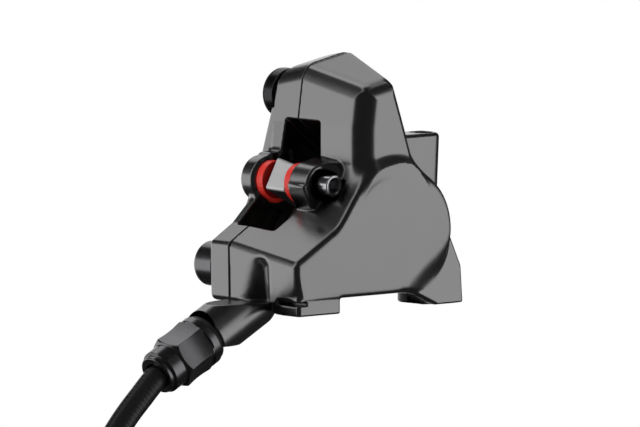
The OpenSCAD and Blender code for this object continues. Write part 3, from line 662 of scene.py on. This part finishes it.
def inset(points, by):
    """A drawing that goes round clockwise, with each side moved inward."""
    made = []
    n = len(points)
    for i in range(n):
        a, b, c = (Vector(points[(i + k) % n]) for k in (-1, 0, 1))
        u, v = (b - a).normalized(), (c - b).normalized()
        left, right = Vector((u.y, -u.x)), Vector((v.y, -v.x))
        made.append(tuple(b + by * (left + right) / (1 + left.dot(right))))
    return made


def inboard_field(x, d, z):
    """The inboard half: its plate, the round piston housing, the far lug and the shoulder."""
    sheet = outline(x, z, inset(INNER_OUTLINE, OUTLINE_R)) - OUTLINE_R
    plate = meet(1.0, sheet, PLATE_BACK_D - d)
    shoulder = meet(
        1.2, plane(x, d, z, (TOWER_X, 0, LEAN_FROM_Z), LEAN),
        plane(x, d, z, (0, -12.2, 29.5), (0, -1, 0.18)),
        plane(x, d, z, (13, PLATE_BACK_D, 30), (1, 0, 0.3)), 24 - z, z - 52,
    )
    drum = meet(2.0, round_bar(x, z, PISTON, DRUM_R), between(d, DRUM_BACK_D, 0))
    body = join(1.8, join(2.2, plate, drum), shoulder)
    body = np.maximum(body, sheet - np.clip(0.4 * (30 - z), 0, 20))
    body = meet(FRONT_R, body, tower_top(x, d, z, -TOP_SLOPE_IN))
    bleed_s, bleed_r = on_bleed(x, d, z)
    body = join(0.6, body, meet(0.3, bleed_r - BLEED_SEAT_R, between(bleed_s, -4, 0)))
    body = meet(0.3, body, d - SEAM_D)
    pocket = meet(0.6, pad_pocket_field(x, z), -POCKET_D - d)
    body = cut(POCKET_EDGE_R, body, pocket)
    lug = meet(0.9, round_bar(x, z, PIN, FAR_LUG_R), between(d, -9.4, -POCKET_D))
    arm = meet(
        0.7, plane(x, d, z, (-4, 0, 30.4), (0, 0, 1)), PIN[0] - x, x + 4, 20.2 - z,
        between(d, -9.2, -POCKET_D),
    )
    body = join(1.0, body, join(0.6, lug, arm))
    for hole in inboard_holes(x, d, z):
        body = cut(HOLE_EDGE_R, body, hole)
    return body


def inboard_holes(x, d, z):
    """Bore, seal groove, pin, upper bolt and its seat, lower bolt and bleed screw."""
    bleed_s, bleed_r = on_bleed(x, d, z)
    return [
        np.maximum(round_bar(x, z, PISTON, BORE_R), between(d, -BORE_TO, -BORE_FROM)),
        np.maximum(round_bar(x, z, PISTON, SEAL_GROOVE_R), between(-d, *SEAL_GROOVE)),
        np.maximum(round_bar(x, z, PIN, PIN_HOLE_R), between(d, -THROUGH, 0)),
        np.maximum(round_bar(x, z, UPPER_BOLT, BOLT_HOLE_R), between(d, -THROUGH, 0)),
        np.maximum(round_bar(x, z, UPPER_BOLT, UPPER_SEAT_R), between(d, -THROUGH, UPPER_SEAT_D)),
        np.maximum(round_bar(x, z, LOWER_BOLT, BOLT_HOLE_R), between(d, -THROUGH, 0)),
        np.maximum(bleed_r - BLEED_HOLE_R, between(bleed_s, -6, 6)),
    ]


# Smaller pieces as fields

PIN_STEM_R = 1.6
PIN_HEAD_R = 2.15
PIN_HEAD_FROM, PIN_HEAD_TO = 8.25, 14.3
PIN_SOCKET = 2.5
PIN_GROOVES = ((-10.35, -9.85, 1.2), (5.5, 6.3, 1.25))
BOLT_R = 3.0
BOLT_SOCKET = 4.0
UPPER_HEAD_R = 5.1
LOWER_HEAD_R = 4.55


def ring_of(r, radial, low, high, along):
    """A disc or shank from low to high along its axis, with its edges rounded to radius r."""
    return meet(r, radial, between(along, low, high))


def hexagon(p, q, flats, turn=0.0):
    """The distance to a hexagon, flats across, turned by so many degrees."""
    most = -np.inf
    for k in range(6):
        a = math.radians(60 * k + turn)
        most = np.maximum(most, p * math.cos(a) + q * math.sin(a) - flats / 2)
    return most


def pin_field(x, d, z):
    """The pad pin: stem, hollow head with its hexagon socket, and the two grooves."""
    wx, wz = x - PIN[0], z - PIN[1]
    r = np.hypot(wx, wz)
    stem = ring_of(0.4, r - PIN_STEM_R, -10.9, 9.5, d)
    head = ring_of(0.14, r - PIN_HEAD_R, PIN_HEAD_FROM, PIN_HEAD_TO, d)
    cone = (r - 2.9 + 0.5 * (d - PIN_HEAD_FROM)) * 0.9
    cone = np.maximum(cone, between(d, PIN_HEAD_FROM, 9.6))
    body = join(0.15, np.minimum(stem, head), cone)
    socket = np.maximum(hexagon(wx, wz, PIN_SOCKET), 11.1 - d)
    mouth = np.maximum((r - 1.3 - (d - 14.05)) * 0.7, 13.7 - d)
    body = cut(0.05, body, np.minimum(socket, mouth))
    for low, high, floor_r in PIN_GROOVES:
        body = np.maximum(body, -np.maximum(floor_r - r, between(d, low, high)))
    return body


def upper_bolt_field(x, d, z):
    """The upper body bolt: shank and a wide head with a thin line near its end."""
    wx, wz = x - UPPER_BOLT[0], z - UPPER_BOLT[1]
    r = np.hypot(wx, wz)
    shank = ring_of(0.5, r - BOLT_R, UPPER_SEAT_D - 0.1, 8.4, d)
    head = meet(0.9, r - UPPER_HEAD_R, -13.8 - d + 0.02 * r * r, d - UPPER_SEAT_D)
    head = cut(0.06, head, np.hypot(r - 5.15, d + 12.5) - 0.22)
    socket = np.maximum(hexagon(wx, wz, BOLT_SOCKET, 12), d + 10.8)
    mouth = np.maximum((r - 2.5 + (d + 13.6)) * 0.7, d + 13)
    return cut(0.12, join(0.2, shank, head), np.minimum(socket, mouth))


def lower_bolt_field(x, d, z):
    """The lower body bolt: shank and a round head with a chamfer and a hexagon socket."""
    wx, wz = x - LOWER_BOLT[0], z - LOWER_BOLT[1]
    r = np.hypot(wx, wz)
    shank = ring_of(0.5, r - BOLT_R, -7.7, 2.8, d)
    chamfer = (r - LOWER_HEAD_R - d - 12.8) * 0.707
    head = meet(0.25, r - LOWER_HEAD_R, between(d, -13.4, -7.6), chamfer)
    socket = np.maximum(hexagon(wx, wz, BOLT_SOCKET, 20), d + 10.4)
    mouth = np.maximum((r - 2.5 + (d + 13.2)) * 0.7, d + 12.4)
    return cut(0.12, join(0.15, shank, head), np.minimum(socket, mouth))


HEX_FLATS = 10
HEX_TWIST = 18.4
HEX_START, HEX_END = 2.5, 10.2
HEX_HOLLOW = 0.28
NUT_BORE_R = 2.65


def nut_field(p, q, s):
    """The hose nut in its own frame: collar, hollow-faced hexagon, waist, end ring and bore."""
    r = np.hypot(p, q)
    middle = (HEX_START + HEX_END) / 2
    half = (HEX_END - HEX_START) / 2
    hollow = HEX_HOLLOW * np.maximum(1 - ((s - middle) / half) ** 2, 0)
    hexa = hexagon(p, q, HEX_FLATS, HEX_TWIST) + hollow
    first_chamfer = (r - 5.25 - (s - HEX_START)) * 0.72
    last_chamfer = (r - 4.85 - 1.15 * (HEX_END - s)) * 0.68
    hexa = meet(0.22, hexa, between(s, HEX_START, HEX_END), first_chamfer, last_chamfer)
    collar = ring_of(0.25, r - 5.4, 0.8, HEX_START + 0.2, s)
    waist = meet(0.3, r - 4.6, between(s, 9, 13.3))
    end = meet(0.3, r - 4.05, between(s, 12.6, NUT_L))
    thread = ring_of(0.2, r - 3.5, -5.6, 1.5, s)
    body = join(0.25, join(0.12, collar, hexa), waist, end)
    body = join(0.05, body, thread)
    bore = np.maximum(r - NUT_BORE_R, r - 3.35 - 0.117 * (s - NUT_L))
    bore = np.minimum(r - NUT_BORE_R, np.maximum(bore, NUT_L - 6 - s))
    return cut(0.18, body, bore)


def port_frame(p):
    """Points p, q and s of the hose port's own frame, as millimetres of the scene."""
    side = np.array([0.0, 1.0, 0.0])
    ahead = np.array(PORT_AXIS)
    up = np.cross(ahead, side)
    mouth = np.array([PORT_MOUTH[0], HOLE_OFFSET - PORT_MOUTH[1], PORT_MOUTH[2]])
    return mouth + p[:, :1] * side + p[:, 1:2] * up + p[:, 2:] * ahead


SPRING_IN = [
    (-4.6, 26.9), (-7.2, 28.2), (-9.7, 29.5), (-12.8, 23.8), (-7.6, 19.6), (-5.4, 17.9),
]
SPRING_OUT = [
    (-4.6, 26.2), (-7.0, 27.3), (-9.4, 28.4), (-12.4, 23.6), (-7.6, 19.6), (-5.4, 17.9),
]
SPRING_BENDS = [0, 1.2, 0.4, 0.45, 3.0, 0]
SPRING_REACH = [(-2.4, 2.4)] * 4 + [(1.3, 2.3)] * 2
SPRING_T = 0.4
SPRING_EDGE = 0.08
BEND_STEPS = 8
BEVEL_ANGLE = math.radians(30)
BEVELLED_SHARP = math.radians(50)


def rounded_route(points, radii):
    """A drawn line with its corners rounded."""
    made = [Vector(points[0])]
    for a, b, c, r in zip(points, points[1:], points[2:], radii[1:]):
        a, b, c = Vector(a), Vector(b), Vector(c)
        back, on = (a - b).normalized(), (c - b).normalized()
        half = back.angle(on) / 2
        reach = r / math.tan(half)
        centre = b + (back + on).normalized() * (r / math.sin(half))
        start, end = b + back * reach - centre, b + on * reach - centre
        turn = start.angle_signed(end)
        for k in range(BEND_STEPS + 1):
            made.append(centre + Matrix.Rotation(-turn * k / BEND_STEPS, 2) @ start)
    return made + [Vector(points[-1])]


def strip(name, inner, outer, reach, bends, thickness):
    """A bent strip between two edges, each a route in x and z, with its reach along d."""
    left, right = rounded_route(inner, bends), rounded_route(outer, bends)
    spans = [reach[0]]
    for span in reach[1:-1]:
        spans += [span] * (BEND_STEPS + 1)
    spans.append(reach[-1])
    n = len(left)
    vertices = []
    for i in range(n):
        corners = []
        for line, d in ((left, spans[i][0]), (right, spans[i][1])):
            way = (line[min(i + 1, n - 1)] - line[max(i - 1, 0)]).normalized()
            off = Vector((-way.y, way.x)) * thickness / 2
            corners.append([place(*(line[i] + side * off).to_3d().xzy + Vector((0, d, 0)))
                            for side in (1, -1)])
        vertices += [corners[0][0], corners[1][0], corners[1][1], corners[0][1]]
    faces = [(4 * i + k, 4 * i + (k + 1) % 4, 4 * i + 4 + (k + 1) % 4, 4 * i + 4 + k)
             for i in range(n - 1) for k in range(4)]
    faces += [(3, 2, 1, 0), tuple(4 * (n - 1) + k for k in range(4))]
    return bevel(face_outward(link_mesh(name, vertices, faces)), SPRING_EDGE)


def face_outward(piece):
    """Turns a closed piece's faces outward."""
    work = bmesh.new()
    work.from_mesh(piece.data)
    bmesh.ops.recalc_face_normals(work, faces=work.faces)
    work.to_mesh(piece.data)
    work.free()
    return piece


def bevel(piece, width):
    """Rounds the sharp edges of a piece."""
    mod = piece.modifiers.new("bevel", "BEVEL")
    mod.width = width * MM
    mod.segments = 2
    mod.limit_method = "ANGLE"
    mod.angle_limit = BEVEL_ANGLE
    bpy.context.view_layer.update()
    shaped = piece.evaluated_get(bpy.context.evaluated_depsgraph_get())
    mesh = bpy.data.meshes.new_from_object(shaped)
    piece.modifiers.clear()
    piece.data = mesh
    mesh.shade_smooth()
    mesh.set_sharp_from_angle(angle=BEVELLED_SHARP)
    return piece


# Materials

GRAIN_DEPTH = 0.05
CLOUD_SCALE = 120
RING_SPAN = 20.0
RING_BLUR = 0.05


def linear(red, green, blue):
    """A colour from 0 to 255 as it reads in a picture, as Blender's linear colour."""
    parts = [v / 255 for v in (red, green, blue)]
    return [p / 12.92 if p <= 0.04045 else ((p + 0.055) / 1.055) ** 2.4 for p in parts] + [1.0]


def surface(name, colour, metallic=0.0, roughness=0.5, grain=0.0, grain_size=0.2, mottle=0.0):
    """A plain finish, with a fine grain in its normal and a soft mottle in its roughness."""
    made = bpy.data.materials.new(name)
    made.use_nodes = True
    nodes, links = made.node_tree.nodes, made.node_tree.links
    shader = nodes["Principled BSDF"]
    shader.inputs["Base Color"].default_value = linear(*colour)
    shader.inputs["Metallic"].default_value = metallic
    shader.inputs["Roughness"].default_value = roughness
    made.diffuse_color = linear(*colour)
    place_of = nodes.new("ShaderNodeTexCoord")
    if grain:
        noise = nodes.new("ShaderNodeTexNoise")
        noise.inputs["Scale"].default_value = 1 / (grain_size * MM)
        noise.inputs["Detail"].default_value = 3
        bump = nodes.new("ShaderNodeBump")
        bump.inputs["Strength"].default_value = grain
        bump.inputs["Distance"].default_value = GRAIN_DEPTH * MM
        links.new(place_of.outputs["Object"], noise.inputs["Vector"])
        links.new(noise.outputs["Fac"], bump.inputs["Height"])
        links.new(bump.outputs["Normal"], shader.inputs["Normal"])
    if mottle:
        cloud = nodes.new("ShaderNodeTexNoise")
        cloud.inputs["Scale"].default_value = CLOUD_SCALE
        cloud.inputs["Detail"].default_value = 4
        span = nodes.new("ShaderNodeMapRange")
        span.inputs["To Min"].default_value = roughness - mottle
        span.inputs["To Max"].default_value = roughness + mottle
        links.new(place_of.outputs["Object"], cloud.inputs["Vector"])
        links.new(cloud.outputs["Fac"], span.inputs["Value"])
        links.new(span.outputs["Result"], shader.inputs["Roughness"])
    return made


def paint_rings(made, centre, colours):
    """Colours a material by its distance, in x and z, from a point.

    colours are pairs of a reach and the colour up to it. The last colour goes on outward.
    """
    nodes, links = made.node_tree.nodes, made.node_tree.links
    shader = nodes["Principled BSDF"]
    place_of = nodes.new("ShaderNodeTexCoord")
    away = nodes.new("ShaderNodeVectorMath")
    away.operation = "SUBTRACT"
    away.inputs[1].default_value = (centre[0] * MM, 0, centre[1] * MM)
    flat = nodes.new("ShaderNodeVectorMath")
    flat.operation = "MULTIPLY"
    flat.inputs[1].default_value = (1 / (RING_SPAN * MM), 0, 1 / (RING_SPAN * MM))
    far = nodes.new("ShaderNodeVectorMath")
    far.operation = "LENGTH"
    ramp = nodes.new("ShaderNodeValToRGB")
    stops = ramp.color_ramp.elements
    stops.remove(stops[1])
    stops[0].color = linear(*colours[0][1])
    for (reach, before), (_, after) in zip(colours, colours[1:]):
        stops.new((reach - RING_BLUR) / RING_SPAN).color = linear(*before)
        stops.new((reach + RING_BLUR) / RING_SPAN).color = linear(*after)
    links.new(place_of.outputs["Object"], away.inputs[0])
    links.new(away.outputs["Vector"], flat.inputs[0])
    links.new(flat.outputs["Vector"], far.inputs[0])
    links.new(far.outputs["Value"], ramp.inputs["Fac"])
    links.new(ramp.outputs["Color"], shader.inputs["Base Color"])


# Each finish's colour, metallic, roughness, grain, size of the grain and mottle
FINISHES = {
    "anodised_body": ((140, 140, 141), 1.0, 0.25, 0.1, 0.09, 0.015),
    "dark_steel": ((122, 122, 124), 1.0, 0.24, 0.1, 0.1, 0.03),
    "black_pin": ((190, 190, 194), 1.0, 0.16, 0.0, 0.1, 0.04),
    "bare_steel": ((214, 215, 216), 0.55, 0.42, 0.1, 0.1, 0.05),
    "piston_steel": ((190, 190, 192), 1.0, 0.3, 0.0, 0.1, 0.05),
    "red_plate": ((190, 22, 16), 0.0, 0.35, 0.15, 0.1, 0.05),
    "lining": ((62, 56, 50), 0.0, 0.85, 0.6, 0.25),
    "seal_rubber": ((24, 24, 24), 0.0, 0.55),
    "hose_cover": ((22, 22, 23), 0.0, 0.36, 0.15, 0.12, 0.06),
    "black_plastic": ((32, 32, 34), 0.0, 0.5, 0.2, 0.15),
    "brass": ((196, 160, 84), 1.0, 0.3),
}
FINISH = {name: surface(name, *values) for name, values in FINISHES.items()}
# Painted shade: the nearly black colour of the pad plates beyond their ears
PLATE_PAINTED_SHADE = (26, 26, 27)
BLACK_STEEL = surface("black_steel", (62, 62, 64), 1.0, 0.26, 0.1, 0.1, 0.03)
SPRING_LIGHT = (216, 217, 218)
SPRING_PAINTED_SHADE = (60, 60, 62)
SPRING_STEEL = surface("spring_steel", SPRING_LIGHT, 0.62, 0.36, 0.1, 0.1, 0.05)
# Painted light on the red pad plates: near the pin the ear is painted a shaded dark red, round it
# runs a painted highlight along its lit rim, and beyond it the plate hidden in the window is
# painted as shade, nearly black.
RED_PAINTED_SHADE = (118, 12, 8)
RED_PAINTED_HIGHLIGHT = (222, 50, 40)
paint_rings(FINISH["red_plate"], PIN, [(3.72, RED_PAINTED_SHADE), (4.6, RED_PAINTED_HIGHLIGHT), (0, PLATE_PAINTED_SHADE)])
# Painted shade on the spring: the leaf round its top bend keeps the steel's colour, and the tail
# further off, which faces down, is painted dark.
paint_rings(SPRING_STEEL, (-9.6, 29.0), [(6.3, SPRING_LIGHT), (0, SPRING_PAINTED_SHADE)])
# The painted shade in the recess: along each axis, where its darkness starts and where it is full
RECESS_SHADE_EDGES = (("Z", 2.9, 2.6), ("X", 8.0, 9.0), ("Y", -6.6, -6.0))


def paint_recess_shade(made, colour):
    """Paints shade into the body's colour in the recess under the rear boss, past each of its
    edges.
    """
    nodes, links = made.node_tree.nodes, made.node_tree.links
    place_of = nodes.new("ShaderNodeTexCoord")
    parts = nodes.new("ShaderNodeSeparateXYZ")
    links.new(place_of.outputs["Object"], parts.inputs["Vector"])
    share = None
    for axis, start, end in RECESS_SHADE_EDGES:
        span = nodes.new("ShaderNodeMapRange")
        span.inputs["From Min"].default_value = start * MM
        span.inputs["From Max"].default_value = end * MM
        links.new(parts.outputs[axis], span.inputs["Value"])
        if share is None:
            share = span.outputs["Result"]
            continue
        both = nodes.new("ShaderNodeMath")
        both.operation = "MULTIPLY"
        links.new(share, both.inputs[0])
        links.new(span.outputs["Result"], both.inputs[1])
        share = both.outputs["Value"]
    mix = nodes.new("ShaderNodeMix")
    mix.data_type = "RGBA"
    shader = nodes["Principled BSDF"]
    mix.inputs["A"].default_value = shader.inputs["Base Color"].default_value
    mix.inputs["B"].default_value = linear(*colour)
    links.new(share, mix.inputs["Factor"])
    links.new(mix.outputs["Result"], shader.inputs["Base Color"])


WAVES_PER_UNIT = 0.314
RIB_DEPTH = 0.1


def rib(made, pitch, strength):
    """Fine rings along the hose, by its UV map, which is in metres along it."""
    nodes, links = made.node_tree.nodes, made.node_tree.links
    where = nodes.new("ShaderNodeUVMap")
    wave = nodes.new("ShaderNodeTexWave")
    wave.bands_direction = "Y"
    wave.inputs["Scale"].default_value = WAVES_PER_UNIT / (pitch * MM)
    bump = nodes.new("ShaderNodeBump")
    bump.inputs["Strength"].default_value = strength
    bump.inputs["Distance"].default_value = RIB_DEPTH * MM
    links.new(where.outputs["UV"], wave.inputs["Vector"])
    links.new(wave.outputs["Fac"], bump.inputs["Height"])
    links.new(bump.outputs["Normal"], nodes["Principled BSDF"].inputs["Normal"])


rib(FINISH["hose_cover"], 0.95, 0.25)
# Painted shade: the body's colour goes dark in the recess under the rear boss, where the real
# recess lies in shadow.
paint_recess_shade(FINISH["anodised_body"], (34, 34, 35))


def finish(piece, name):
    """Gives a piece one finish, and the slot of the same name."""
    piece.data.materials.clear()
    piece.data.materials.append(FINISH[name])


# The stage


def stage_mesh(name, vertices, faces, colour):
    """The floor or a card: not a part of the object."""
    made = link_mesh(name, vertices, faces)
    paint = bpy.data.materials.new(name)
    paint.use_nodes = True
    shader = paint.node_tree.nodes["Principled BSDF"]
    shader.inputs["Base Color"].default_value = [colour] * 3 + [1]
    shader.inputs["Roughness"].default_value = 1
    shader.inputs["Specular IOR Level"].default_value = 0
    made.data.materials.append(paint)
    return made


CAMERA_BEARING = -90 - math.degrees(VIEW_AZIMUTH)
CARD_R = 1.6
CARD_STEPS = 24
CARD_BLACK = 0.035
CARD_WHITE = 0.7
# Each card's bearings from the camera's, its elevations and how light it is
CARDS = {
    "camera_side_card": ((-76, 64), (-30, 64), CARD_BLACK),
    "overhead_card": ((-180, 180), (62, 90), CARD_BLACK),
    "side_card": ((66, 110), (24, 62), CARD_BLACK),
    "back_left_card": ((-140, -95), (13, 56), CARD_BLACK),
    "back_card": ((-160, -140), (13, 35), CARD_BLACK),
    "right_card": ((108, 172), (-30, 56), CARD_BLACK),
    "low_right_card": ((88, 172), (-40, -13), CARD_BLACK),
    "underneath_card": ((-180, 180), (-90, -22), CARD_BLACK),
    "far_card": ((172, 194), (16, 54), CARD_WHITE),
}


def sky_point(bearing, elevation, r):
    """A point round the place that the camera aims at."""
    b, e = math.radians(bearing), math.radians(elevation)
    return AIM + r * Vector((math.cos(e) * math.cos(b), math.cos(e) * math.sin(b), math.sin(e)))


def card(name, bearings, elevations, colour):
    """A curved card that only reflections see, between two bearings and two elevations."""
    vertices, faces = [], []
    for i in range(CARD_STEPS + 1):
        for k in range(CARD_STEPS + 1):
            b = bearings[0] + (bearings[1] - bearings[0]) * i / CARD_STEPS
            e = elevations[0] + (elevations[1] - elevations[0]) * k / CARD_STEPS
            vertices.append(sky_point(CAMERA_BEARING + b, e, CARD_R))
    row = CARD_STEPS + 1
    for i in range(CARD_STEPS):
        for k in range(CARD_STEPS):
            a = i * row + k
            faces.append((a, a + 1, a + row + 1, a + row))
    made = stage_mesh(name, vertices, faces, colour)
    made.visible_camera = False
    made.visible_diffuse = False
    made.visible_shadow = False
    made.visible_transmission = False
    return made


FLOOR_Z = cad_box[0][2]
FLOOR_R = 0.6
FLOOR_SIDES = 96
FLOOR_WHITE = 0.8


def make_stage():
    """A pale floor under the coil, a white surround, and the cards that the metal reflects."""
    ring = []
    for k in range(FLOOR_SIDES):
        a = 2 * math.pi * k / FLOOR_SIDES
        ring.append((FLOOR_R * math.cos(a), FLOOR_R * math.sin(a), FLOOR_Z))
    floor = stage_mesh("floor", ring, [tuple(range(FLOOR_SIDES))], FLOOR_WHITE)
    floor.visible_glossy = False
    for name, (bearings, elevations, colour) in CARDS.items():
        card(name, bearings, elevations, colour)
    world = bpy.data.worlds.new("white")
    bpy.context.scene.world = world
    world.use_nodes = True
    world.node_tree.nodes["Background"].inputs["Color"].default_value = (1, 1, 1, 1)
    bpy.context.scene.view_settings.view_transform = "Standard"


# The pieces

HOSE_SIDES = 40
GRID = 0.3
FINE = 0.14
SOLID_SHARP = math.radians(32)


def fitted(piece, slot, node):
    """Gives a piece of the caliper its finish and its body, and hides the solid that it stands
    for.
    """
    finish(piece, slot)
    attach(piece, "caliper")
    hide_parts(node)


make_camera()
hose_line = hose_path()
hose = tube("hose_run", [place(*p) for p in hose_line], HOSE_FIT * HOSE_R * MM, HOSE_SIDES)
finish(hose, "hose_cover")
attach(hose, "caliper")
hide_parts("hose", "hose_coil")

outboard = field_piece("outboard_half", outboard_field, (-36, -3, -6), (24, 21, 52), GRID)
fitted(outboard, "anodised_body", "outboard_body")
inboard = field_piece("inboard_half", inboard_field, (-26, -17, 0), (19, 0, 52), GRID)
fitted(inboard, "anodised_body", "inboard_body")
pin = field_piece("pin_turned", pin_field, (-13, -12, 21.4), (-5.6, 15, 28.8), FINE)
fitted(pin, "black_pin", "pad_pin")
upper = field_piece("upper_bolt_turned", upper_bolt_field, (-5.3, -14.2, 36), (5.7, 9, 47), FINE)
fitted(upper, "dark_steel", "upper_body_bolt")
upper.data.materials[0] = BLACK_STEEL
lower = field_piece(
    "lower_bolt_turned", lower_bolt_field, (-23.4, -13.9, 3.4), (-13.6, 3.3, 13.2), FINE
)
fitted(lower, "dark_steel", "lower_body_bolt")
nut = field_piece(
    "hose_nut_turned", nut_field, (-6.3, -6.3, -6), (6.3, 6.3, 15), FINE, port_frame, False
)
fitted(nut, "dark_steel", "hose_nut")
spring = strip("spring_leaf", SPRING_IN, SPRING_OUT, SPRING_REACH, SPRING_BENDS, SPRING_T)
fitted(spring, "bare_steel", "pad_spring")
spring.data.materials[0] = SPRING_STEEL
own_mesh(spring)

# Solids of the frame that are shown as they are, with their slots
CARRIED = {
    "outboard_pad_plate": "red_plate", "inboard_pad_plate": "red_plate",
    "outboard_pad_lining": "lining", "inboard_pad_lining": "lining",
    "outboard_piston": "piston_steel", "inboard_piston": "piston_steel",
    "outboard_piston_seal": "seal_rubber", "inboard_piston_seal": "seal_rubber",
    "crossover_seal": "seal_rubber", "bleed_screw_seal": "seal_rubber",
    "hose_port_seal": "seal_rubber", "pad_pin_ring": "seal_rubber",
    "pad_pin_clip": "bare_steel", "bleed_screw": "dark_steel", "hose_olive": "brass",
    "hose_insert": "bare_steel", "hose_end_nut": "dark_steel", "hose_end_olive": "brass",
    "hose_end_insert": "bare_steel", "hose_end_cap": "black_plastic", "hose_tie": "black_plastic",
}
for node, slot in CARRIED.items():
    piece = bpy.data.objects[node]
    finish(piece, slot)
    piece.data.shade_smooth()
    piece.data.set_sharp_from_angle(angle=SOLID_SHARP)

make_stage()
